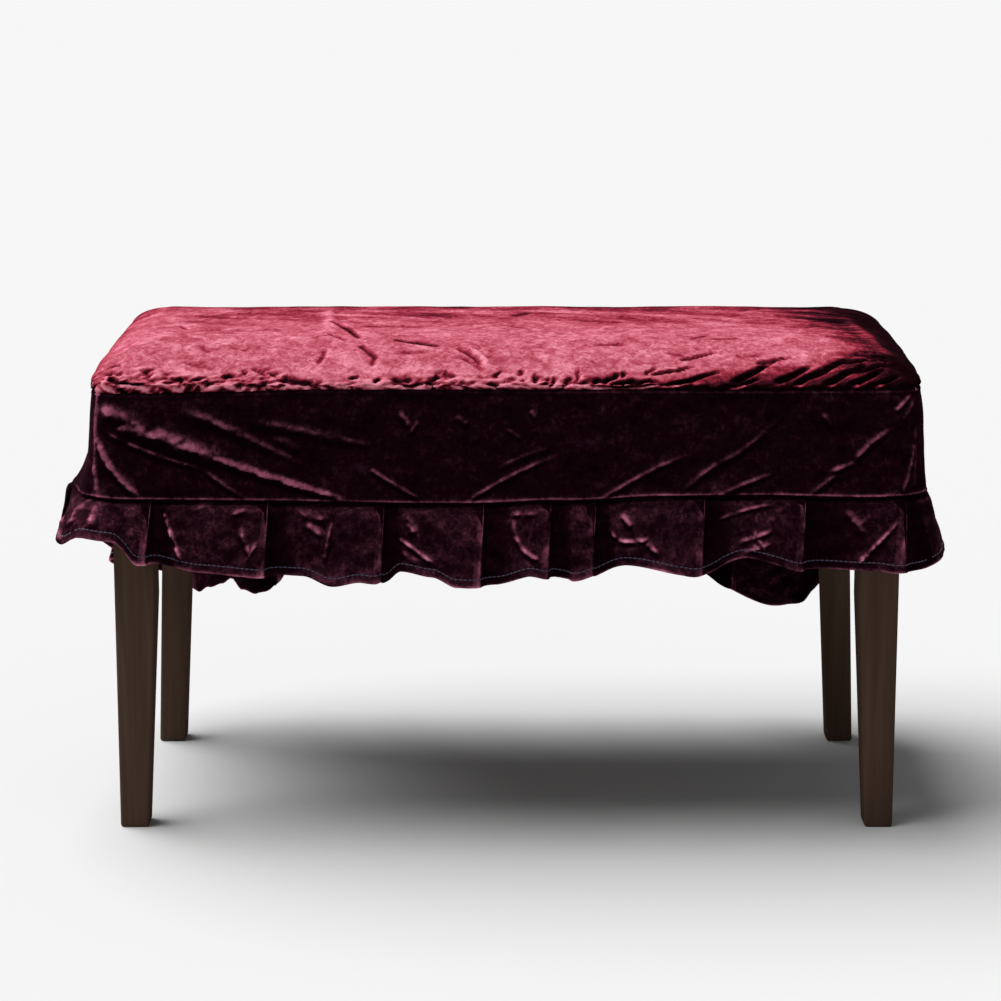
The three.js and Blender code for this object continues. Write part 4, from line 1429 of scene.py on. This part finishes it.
    def columns(self) -> np.ndarray:
        """The ruffle's columns round the whole outline, pleat by pleat.

        Returns:
            For each column a fold edge's place, a run from there, a distance back in overlaps, a
            share of the pleat's depth, that depth, a share of the opening at the hem, how free of the
            folds it is, and how much painted shade it gets in the recess beside the fold.
        """
        outline = self.drape.outline
        edges = [
            (outline.place(side, pleat.along), pleat, side)
            for side, row in self.pleats.items() for pleat in row
        ]
        fold = spline(self.section, self.section_steps)
        opened = np.linspace(-0.5, 0.5, len(fold))
        first_back, first_share = self.section[0]
        last_back = self.section[-1][0]
        faces = np.where(fold[:, 1] < first_share, 0.0, rise(fold[:, 0], *self.face_stretch))
        made = []
        for index, (edge, pleat, side) in enumerate(edges):
            next_edge, next_pleat, _ = edges[(index + 1) % len(edges)]
            gap = (next_edge - edge) % outline.length
            made += [
                (edge, 0.0, back, share, pleat.depth, wide, face, float(share < self.recess_from))
                for (back, share), wide, face in zip(fold, opened, faces)
            ]
            belly = gap - (first_back - last_back) * self.seam_overlap
            count = max(self.fewest_steps, round(belly / self.belly_steps[side]))
            for step in np.arange(count) / count:
                stand = first_share * float(smooth(step)) ** self.belly_power
                back = last_back + (first_back - last_back) * step
                free = float(rise(gap * step, 0.0, self.belly_start))
                dark = float(bell(step * gap, 0.0, pleat.recess))
                made.append((edge, step * gap, back, stand, next_pleat.depth, 0.5 - step, free, dark))
        return np.array(made)

    def rows(self, length: np.ndarray) -> np.ndarray:
        """Rows of the ruffle, finer at the hem.

        Args:
            length: Length of each column, from seam to hem.

        Returns:
            The rows' distances from the hem.
        """
        hem = np.array(self.hem_rows)[:, None]
        rest = np.linspace(0.0, 1.0, self.rows_above_hem + 1)[1:, None]
        above = length + np.array(self.allowance)[:, None]
        hem_part = np.broadcast_to(hem, (len(hem), len(length)))
        return np.concatenate((hem_part, hem[-1] + (length - hem[-1]) * rest, above))

    def hem_relief(self, to_hem: np.ndarray) -> np.ndarray:
        """The turned hem, with its rolled edge and the groove of its stitches.

        Args:
            to_hem: Distances from the hem's edge.

        Returns:
            The height at each place.
        """
        stitch = self.hem_rows[self.stitch_row]
        turned = smooth((stitch - to_hem) / self.hem_step) - bell(to_hem, stitch, self.stitch_groove)
        return self.hem_proud * (turned - self.hem_edge * fall(to_hem, self.hem_rows[1]))

    def sheets(self) -> dict[Side, Cloth]:
        """Makes the cloth of the whole ruffle.

        Returns:
            The four lengths, by their sides.
        """
        outline, drape = self.drape.outline, self.drape
        edge, run, back, share, depth, wide, free, dark = self.columns().T
        middle = edge + run - back * (self.overlap + self.seam_overlap) / 2.0 + wide * self.opening / 2.0
        length = self.height - drape.hang(middle)[2] - drape.dip(middle)
        to_hem = self.rows(length)
        to_seam = length - to_hem
        above = np.maximum(-to_seam, 0.0)
        down = np.maximum(to_seam, 0.0) / length
        opened = smooth(down)
        place = edge + run - back * (self.seam_overlap + (self.overlap - self.seam_overlap) * opened)
        place = place + wide * self.opening * opened
        stand = share * (self.seam_depth + (depth - self.seam_depth) * down)
        along = travelled(np.stack((place[0], stand[0]), axis=-1))
        flat = np.stack(np.broadcast_arrays(along, to_seam), axis=-1)
        front = outline.past(place, outline.place(Side.FRONT, 0.0))
        broken = free * np.clip(layered(self.breaks, flat), *self.break_span)
        dip = drape.dip(place)
        drifts = broken * highest_relief(self.drifts(), front, to_seam + dip)
        crumple = (layered(self.slack, flat) + drifts) * rise(to_seam, 0.0, self.seam_calm)
        crumple = crumple * rise(to_hem, *self.hem_stretch)
        band_flare, flare, _ = drape.hang(place)
        behind = self.tuck + self.sewn_in * fall(to_seam, self.sewn_reach)
        behind = behind + band_flare * self.band_flare_power * above / self.band_height
        offset = band_flare + (flare - band_flare) * down**self.flare_power + stand - behind
        offset = offset + crumple + self.hem_relief(to_hem)
        z = drape.seam(place) - self.band_height - dip - self.gap - to_seam
        points = outline.beside(place, offset, z)
        plain = outline.beside(place, offset - crumple, z)
        # Painted light: painted shade to the right and in the recesses, painted highlights on ridges, on the
        # pleats' crests and at the hem's edge.
        base = self.painted_light - self.right_shade * rise(front, *self.right_stretch)
        painted_light = hanging_painted_light(points, plain, drifts, base)
        painted_light = painted_light + broken * highest_light(self.drifts(), front, to_seam + dip) - self.recess_shade * dark
        crest = bell(share, *self.crest_line) * (back < self.crest_back) * self.crest_mottle.at(flat)
        painted_light = painted_light + self.crest_light * crest
        painted_light = painted_light + self.hem_light * bell(to_hem, 0.0, self.hem_line) * self.hem_mottle.at(flat)
        return self.cut_sides(points, flat, painted_light, middle)

    def cut_sides(
        self, points: np.ndarray, flat: np.ndarray, painted_light: np.ndarray, middle: np.ndarray,
    ) -> dict[Side, Cloth]:
        """Cuts the whole ruffle into its four lengths, at the columns nearest to the corners.

        Args:
            points: Points of the whole ruffle.
            flat: Their flat places.
            painted_light: Their painted light level.
            middle: Each column's distance round the outline.

        Returns:
            The cloth of each side.
        """
        ends = [*self.drape.outline.starts[1:], self.drape.outline.length]
        cuts = [int(np.argmin(np.abs(middle - end))) for end in ends]
        count = len(middle)
        lengths = {}
        for side, low, high in zip(Side, [cuts[-1] - count, *cuts[:-1]], cuts):
            kept = np.arange(low, high + 1) % count
            lengths[side] = Cloth(f"ruffle_length_{side.label}", points[:, kept], flat[:, kept], painted_light[:, kept])
        return lengths


@dataclass
class HemStitches:
    """A row of short thread stitches along a ruffle's hem, in millimetres."""

    pitch: float = 4.6
    length: float = 4.0
    radius: float = 0.62
    proud: float = 0.25
    dive: float = 0.8
    sides: int = 6
    # Places of a stitch's rings along it, and their shares of its radius.
    rings: tuple[Pair, ...] = ((-0.5, 0.35), (-0.32, 1.0), (0.32, 1.0), (0.5, 0.35))

    def faces(self, count: int) -> list[tuple[int, ...]]:
        """Faces of the stitches, one stitch after another.

        Args:
            count: Number of stitches.

        Returns:
            The points of each face, in order.
        """
        each = len(self.rings) * self.sides
        quads = [
            (r * self.sides + k, r * self.sides + (k + 1) % self.sides,
             (r + 1) * self.sides + (k + 1) % self.sides, (r + 1) * self.sides + k)
            for r in range(len(self.rings) - 1) for k in range(self.sides)
        ]
        caps = [tuple(range(self.sides))[::-1], tuple(range(each - self.sides, each))]
        return [tuple(v + each * n for v in face) for n in range(count) for face in quads + caps]

    def build(self, cloth: Cloth, row: int, name: str, middle: Vector) -> bpy.types.Object:
        """Makes the stitches of one length as one mesh.

        Args:
            cloth: The length of ruffle that they are sewn in.
            row: The row of its grid that they follow.
            name: Name of the piece.
            middle: The cover's middle in the frame, on the floor.

        Returns:
            The joined stitches.
        """
        line = cloth.points[row]
        travel = travelled(line)
        centres = np.arange(self.pitch, travel[-1] - self.pitch, self.pitch)

        def along(places: np.ndarray, values: np.ndarray) -> np.ndarray:
            """Values at distances along the stitch line."""
            return np.stack([np.interp(places, travel, values[:, k]) for k in range(3)], axis=-1)

        def unit(vectors: np.ndarray) -> np.ndarray:
            """The vectors' directions."""
            return vectors / np.linalg.norm(vectors, axis=-1, keepdims=True)

        out = unit(along(centres, grid_normals(cloth.points)[row]))
        ahead = unit(along(centres + self.length / 2.0, line) - along(centres - self.length / 2.0, line))
        across = np.cross(out, ahead)
        points = []
        for step, size in self.rings:
            lift = self.proud - self.dive * abs(step) * self.radius
            spine = along(centres + step * self.length, line) + out * lift
            for turn in np.arange(self.sides) * 2.0 * math.pi / self.sides:
                ring = across * math.cos(turn) + out * math.sin(turn)
                points.append(spine + ring * self.radius * size)
        piece = sewn(name, np.stack(points, axis=1).reshape(-1, 3), self.faces(len(centres)), middle)
        bpy.ops.object.shade_smooth()
        return piece


class Shader:
    """A material with one principled surface, and the nodes that feed it."""

    def __init__(self, name: str) -> None:
        """Starts a material.

        Args:
            name: Name of the material.
        """
        self.material = bpy.data.materials.new(name)
        self.material.use_nodes = True
        self.tree = self.material.node_tree
        self.surface = self.tree.nodes["Principled BSDF"]
        self.places = self.tree.nodes.new("ShaderNodeTexCoord").outputs["Object"]

    def settle(self, **values: float | tuple[float, ...]) -> None:
        """Sets the surface's own sockets.

        Args:
            values: The values, by socket name in lower case with underscores.
        """
        for name, value in values.items():
            words = [word.upper() if word == "ior" else word.capitalize() for word in name.split("_")]
            self.surface.inputs[" ".join(words)].default_value = value

    def node(self, kind: str, **values: object) -> bpy.types.Node:
        """Adds a node.

        Args:
            kind: Type of the node.
            values: Its inputs by name, in lower case with underscores: plain values, or sockets to link.

        Returns:
            The node.
        """
        made = self.tree.nodes.new(kind)
        for name, value in values.items():
            socket = made.inputs[name.replace("_", " ").title()]
            if isinstance(value, Socket):
                self.tree.links.new(value, socket)
            else:
                socket.default_value = value
        return made

    def feed(self, source: Socket, name: str) -> None:
        """Links a socket to one of the surface's inputs."""
        self.tree.links.new(source, self.surface.inputs[name])

    def stretched(self, scale: Triple) -> Socket:
        """Places scaled differently along each axis."""
        return self.node("ShaderNodeMapping", vector=self.places, scale=scale).outputs["Vector"]

    def ramp(self, factor: Socket, *stops: tuple[float, Colour]) -> Socket:
        """Colours over a factor.

        Args:
            factor: The factor, from 0 to 1.
            stops: A place and a colour for each stop.

        Returns:
            The colour's socket.
        """
        made = self.node("ShaderNodeValToRGB", fac=factor)
        elements = made.color_ramp.elements
        while len(elements) < len(stops):
            elements.new(0.5)
        for element, (place, colour) in zip(elements, stops):
            element.position = place
            element.color = (*colour, 1.0)
        return made.outputs["Color"]

    def span(self, value: Socket, low: float, high: float) -> Socket:
        """A value from 0 to 1, mapped to a span."""
        return self.node("ShaderNodeMapRange", value=value, to_min=low, to_max=high).outputs["Result"]

    def noise(self, places: Socket, scale: float, detail: float, distortion: float = 0.0) -> Socket:
        """Noise at places, with that many lumps to a metre."""
        values = {"vector": places, "scale": scale, "detail": detail, "distortion": distortion}
        return self.node("ShaderNodeTexNoise", **values).outputs[0]

    def attribute(self, name: str) -> Socket:
        """A value that the piece's points carry.

        Args:
            name: Name of the attribute.

        Returns:
            The value's socket.
        """
        made = self.node("ShaderNodeAttribute")
        made.attribute_name = name
        return made.outputs["Fac"]

    def sum(self, *values: Socket) -> Socket:
        """Adds two values.

        Args:
            values: The values' sockets.

        Returns:
            The sum's socket.
        """
        made = self.node("ShaderNodeMath")
        made.operation = "ADD"
        for value, socket in zip(values, made.inputs):
            self.tree.links.new(value, socket)
        return made.outputs[0]

    def bump(self, *layers: tuple[Socket, float, float]) -> None:
        """Raises the surface.

        Args:
            layers: A height, a strength and a depth in metres for each layer.
        """
        below = {}
        for height, strength, distance in layers:
            made = self.node("ShaderNodeBump", height=height, strength=strength, distance=distance, **below)
            below = {"normal": made.outputs["Normal"]}
        self.feed(below["normal"], "Normal")


@dataclass(frozen=True)
class Velvet:
    """Crushed wine-red velvet, coloured darker or lighter by the painted light level that each piece carries.

    Attributes:
        name: Name of the material.
        shades: Colours over the painted light level, from painted shade to painted highlight, each with its
            place.
        crush: Lumps to a metre of the coarse mottling, and how much it changes the painted light level.
        streak: The same of the fine mottling.
        sheen_weight: Strength of the sheen.
        sheen_roughness: How broad the sheen is.
        sheen: Colour of the sheen.
        roughness: Span of the roughness over the coarse mottling.
        pile: Lumps to a metre of the pile's own grain.
        reliefs: Strength and depth in metres of the two mottlings' bumps and of the pile's.
    """

    name: str
    shades: tuple[tuple[float, Colour], ...]
    crush: Pair
    streak: Pair
    sheen_weight: float = 0.03
    sheen_roughness: float = 0.35
    sheen: Colour = (1.0, 0.42, 0.55)
    roughness: Pair = (0.70, 0.95)
    pile: float = 950.0
    reliefs: tuple[Pair, Pair, Pair] = ((0.22, 0.003), (0.25, 0.0012), (0.3, 0.0005))

    def make(self) -> bpy.types.Material:
        """Makes the material.

        Returns:
            The finished material.
        """
        shader = Shader(self.name)
        # The painted light level that each piece carries, with random mottling, picks the colour from painted
        # shade to painted highlight.
        painted_lighting = shader.attribute(PAINTED_LIGHT)
        heights = []
        for lumps, depth in (self.crush, self.streak):
            mottle = shader.noise(shader.places, lumps, detail=4.0, distortion=1.0)
            painted_lighting = shader.sum(painted_lighting, shader.span(mottle, -depth / 2.0, depth / 2.0))
            heights.append(mottle)
        heights.append(shader.noise(shader.places, self.pile, detail=2.0))
        shader.feed(shader.ramp(painted_lighting, *self.shades), "Base Color")
        shader.feed(shader.span(heights[0], *self.roughness), "Roughness")
        shader.settle(
            sheen_weight=self.sheen_weight, sheen_roughness=self.sheen_roughness,
            sheen_tint=(*self.sheen, 1.0), specular_ior_level=0.0,
        )
        shader.bump(*((height, *relief) for height, relief in zip(heights, self.reliefs)))
        return shader.material


# Two copies of the velvet with different painted light: the top panel's ramp runs through saturated red to
# pink, and the band and ruffle get cooler painted highlights and more sheen.
TOP_PAINTED_VELVET = Velvet("velvet_painted_top_light", (
    (0.00, (0.0048, 0.0008, 0.0016)),
    (0.20, (0.0108, 0.0018, 0.0034)),
    (0.32, (0.0275, 0.0042, 0.0075)),
    (0.45, (0.0760, 0.0072, 0.0140)),
    (0.60, (0.2020, 0.0155, 0.0310)),
    (0.78, (0.3550, 0.0690, 0.1010)),
    (1.00, (0.5800, 0.1960, 0.2600)),
), crush=(46.0, 0.50), streak=(170.0, 0.62), sheen_weight=0.008)
SIDE_PAINTED_VELVET = Velvet("velvet_painted_side_light", (
    (0.00, (0.0038, 0.0005, 0.0018)),
    (0.20, (0.0088, 0.0017, 0.0041)),
    (0.32, (0.0230, 0.0058, 0.0108)),
    (0.45, (0.0660, 0.0175, 0.0300)),
    (0.60, (0.1600, 0.0420, 0.0710)),
    (0.78, (0.3200, 0.0900, 0.1450)),
    (1.00, (0.5600, 0.2000, 0.2900)),
), crush=(58.0, 0.38), streak=(180.0, 0.54))


@dataclass(frozen=True)
class Lacquer:
    """Brown-black lacquer over a faint wood grain."""

    dark: tuple[float, Colour] = (0.32, (0.060, 0.036, 0.025))
    light: tuple[float, Colour] = (0.70, (0.080, 0.050, 0.036))
    roughness: Pair = (0.24, 0.40)
    grain: float = 130.0
    along_grain: Triple = (1.0, 1.0, 0.05)
    cloud: float = 9.0
    relief: Pair = (0.05, 0.0004)

    def make(self) -> bpy.types.Material:
        """Makes the material.

        Returns:
            The finished material.
        """
        shader = Shader("bench_lacquer")
        along = shader.stretched(self.along_grain)
        grain = shader.noise(along, self.grain, detail=4.0, distortion=0.4)
        cloud = shader.noise(shader.places, self.cloud, detail=2.0)
        shader.feed(shader.ramp(grain, self.dark, self.light), "Base Color")
        shader.feed(shader.span(cloud, *self.roughness), "Roughness")
        shader.settle(specular_ior_level=0.0)
        shader.bump((grain, *self.relief))
        return shader.material


@dataclass(frozen=True)
class Thread:
    """Grey-blue sewing thread."""

    dark: tuple[float, Colour] = (0.35, (0.017, 0.011, 0.028))
    light: tuple[float, Colour] = (0.65, (0.037, 0.026, 0.058))
    twist: float = 1600.0
    relief: Pair = (0.4, 0.0003)

    def make(self) -> bpy.types.Material:
        """Makes the material.

        Returns:
            The finished material.
        """
        shader = Shader("hem_thread")
        twist = shader.noise(shader.places, self.twist, detail=2.0)
        shader.feed(shader.ramp(twist, self.dark, self.light), "Base Color")
        shader.settle(roughness=0.6, sheen_weight=0.3, specular_ior_level=0.3)
        shader.bump((twist, *self.relief))
        return shader.material


@dataclass
class Cover:
    """The sewn cover: top panel, band, ruffle and hem stitches."""

    middle: Vector
    drape: Drape
    # The velvet's two copies with painted light, for the top panel and for the band and ruffle, and the
    # thread.
    top_painted: bpy.types.Material
    sides_painted: bpy.types.Material
    thread: bpy.types.Material

    def build(self) -> None:
        """Builds all of the cover's pieces."""
        top = TopPanel(self.drape)
        panel = top.sheet().build(self.middle)
        settle(panel, Slot.VELVET, self.top_painted, "cover_top")
        band = Band(self.drape)
        for side in Side:
            strip = band.sheet(side).build(self.middle)
            settle(strip, Slot.VELVET, self.sides_painted, f"band_{side.label}")
        ruffle = Ruffle(self.drape)
        for side, cloth in ruffle.sheets().items():
            length = cloth.build(self.middle)
            settle(length, Slot.VELVET, self.sides_painted, f"ruffle_{side.label}")
            name = f"hem_stitches_{side.label}"
            stitches = HemStitches().build(cloth, ruffle.stitch_row, name, self.middle)
            settle(stitches, Slot.VELVET, self.thread)


@dataclass
class Bench:
    """The bench under the cover: legs with rounded edges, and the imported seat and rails."""

    middle: Vector
    lacquer: bpy.types.Material
    knee: float = 235.0
    edge_radius: float = 3.0
    edge_segments: int = 4
    crisp: float = 30.0
    legs: tuple[str, ...] = ("leg_front_left", "leg_front_right", "leg_back_left", "leg_back_right")
    kept: tuple[str, ...] = ("bench_seat", "rail_front", "rail_back", "rail_left", "rail_right")

    def end_box(self, node: str, top: bool) -> tuple[Vector, Vector]:
        """The box of a packed leg's end.

        Args:
            node: Name of the leg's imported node.
            top: Whether it is the upper end.

        Returns:
            The box's low and high corners.
        """
        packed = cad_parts[node]
        places = [packed.matrix_world @ vertex.co for vertex in packed.data.vertices]
        heights = [place.z for place in places]
        level = max(heights) if top else min(heights)
        end = [place for place in places if abs(place.z - level) < MM]
        low = Vector([min(place[k] for place in end) for k in range(3)])
        high = Vector([max(place[k] for place in end) for k in range(3)])
        return low, high

    def move_level(
        self, mesh: bpy.types.Mesh, level: float, shift: float, share: float, corner: Vector,
    ) -> None:
        """Moves and narrows the points of a leg at one height, in edit mode.

        Args:
            mesh: The leg's mesh.
            level: Height of the points.
            shift: How far they move to the side.
            share: Their new share of the leg's size.
            corner: The corner that keeps its place as they narrow.
        """
        bpy.ops.mesh.select_mode(type="VERT")
        bpy.ops.mesh.select_all(action="DESELECT")
        points = bmesh.from_edit_mesh(mesh)
        for vertex in points.verts:
            vertex.select_set(abs(vertex.co.z - level) < MM)
        points.select_flush_mode()
        bmesh.update_edit_mesh(mesh)
        bpy.ops.transform.resize(value=(share, share, 1.0), center_override=corner)
        bpy.ops.transform.translate(value=(shift, 0.0, 0.0))

    def leg(self, node: str) -> bpy.types.Object:
        """Makes one leg, with tapered inner faces.

        Args:
            node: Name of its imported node.

        Returns:
            The leg, in its node's place.
        """
        low, high = self.end_box(node, top=True)
        foot_low, foot_high = self.end_box(node, top=False)
        right, back = low.x > self.middle.x, low.y > self.middle.y
        corner = Vector((high.x if right else low.x, high.y if back else low.y, 0.0))
        lean = (foot_high.x - high.x) if right else (foot_low.x - low.x)
        share = (foot_high.x - foot_low.x) / (high.x - low.x)
        centre = ((low.x + high.x) / 2.0, (low.y + high.y) / 2.0, high.z / 2.0)
        deselect()
        bpy.ops.mesh.primitive_cube_add(size=1.0, location=centre)
        piece = bpy.context.object
        piece.name = node.replace("leg", "bench_leg")
        piece.scale = (high.x - low.x, high.y - low.y, high.z)
        bpy.ops.object.transform_apply(location=True, rotation=True, scale=True)
        bpy.ops.object.mode_set(mode="EDIT")
        bpy.ops.mesh.select_all(action="SELECT")
        knee = self.knee * MM
        bpy.ops.mesh.bisect(plane_co=(0.0, 0.0, knee), plane_no=(0.0, 0.0, 1.0))
        self.move_level(piece.data, knee, lean * (1.0 - knee / high.z), 1.0, corner)
        self.move_level(piece.data, 0.0, lean, share, corner)
        bpy.ops.object.mode_set(mode="OBJECT")
        rounding = piece.modifiers.new("rounding", "BEVEL")
        rounding.width = self.edge_radius * MM
        rounding.segments = self.edge_segments
        rounding.limit_method = "ANGLE"
        bpy.ops.object.modifier_apply(modifier=rounding.name)
        bpy.ops.object.shade_smooth_by_angle(angle=math.radians(self.crisp))
        return piece

    def build(self) -> None:
        """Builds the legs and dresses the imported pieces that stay."""
        for node in self.legs:
            settle(self.leg(node), Slot.BENCH, self.lacquer, node)
        for node in self.kept:
            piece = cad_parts[node]
            for place in piece.material_slots:
                place.material = self.lacquer
            LOG.info("%s: kept", node)


@dataclass
class Studio:
    """Pale floor, a soft sun and a camera at the photographed angle, in metres and degrees."""

    middle: Vector
    lens: float = 93.5
    pitch: float = 13.0
    camera_place: Triple = (-0.006, -2.627, 0.9061)
    floor_size: float = 80.0
    floor_shade: float = 0.52
    sun_strength: float = 5.6
    sun_tilt: Pair = (-7.0, -30.0)
    sun_spread: float = 60.0
    world_strength: float = 0.25

    def floor(self) -> None:
        """Lays the floor."""
        deselect()
        bpy.ops.mesh.primitive_plane_add(size=self.floor_size)
        floor = bpy.context.object
        floor.name = "floor"
        shader = Shader("floor_pale")
        shader.settle(base_color=(self.floor_shade,) * 3 + (1.0,), roughness=1.0, specular_ior_level=0.0)
        floor.data.materials.append(shader.material)

    def hung(self, name: str, data: bpy.types.ID, tilt: Pair) -> bpy.types.Object:
        """Puts a light or a camera into the scene.

        Args:
            name: Its name.
            data: Its data.
            tilt: Its turns about X and Y, in degrees.

        Returns:
            The light or the camera.
        """
        made = bpy.data.objects.new(name, data)
        bpy.context.scene.collection.objects.link(made)
        made.rotation_euler = (math.radians(tilt[0]), math.radians(tilt[1]), 0.0)
        return made

    def light(self) -> None:
        """Adds a broad, soft sun from above and a faint even light from all round."""
        sun = bpy.data.lights.new("overhead", "SUN")
        sun.energy = self.sun_strength
        sun.angle = math.radians(self.sun_spread)
        self.hung("overhead", sun, self.sun_tilt)
        world = bpy.data.worlds.new("studio")
        world.use_nodes = True
        background = world.node_tree.nodes["Background"]
        background.inputs["Strength"].default_value = self.world_strength
        background.inputs["Color"].default_value = (1.0, 1.0, 1.0, 1.0)
        bpy.context.scene.world = world
        bpy.context.scene.view_settings.view_transform = "Standard"

    def build(self) -> None:
        """Sets up the whole studio."""
        self.floor()
        self.light()
        data = bpy.data.cameras.new("camera")
        data.lens = self.lens
        camera = self.hung("camera", data, (90.0 - self.pitch, 0.0))
        camera.location = self.middle + Vector(self.camera_place)
        bpy.context.scene.camera = camera


def main() -> None:
    """Builds the studio, the bench and the cover."""
    logging.basicConfig(level=logging.INFO, format="%(name)s: %(message)s")
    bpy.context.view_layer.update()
    low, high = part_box("cover_top")
    middle = Vector(((low.x + high.x) / 2.0, (low.y + high.y) / 2.0, 0.0))
    outline = Outline((high.x - low.x) / 2.0 / MM, (high.y - low.y) / 2.0 / MM)
    Studio(middle).build()
    Bench(middle, Lacquer().make()).build()
    Cover(middle, Drape(outline), TOP_PAINTED_VELVET.make(), SIDE_PAINTED_VELVET.make(), Thread().make()).build()


if __name__ == "__main__":
    main()
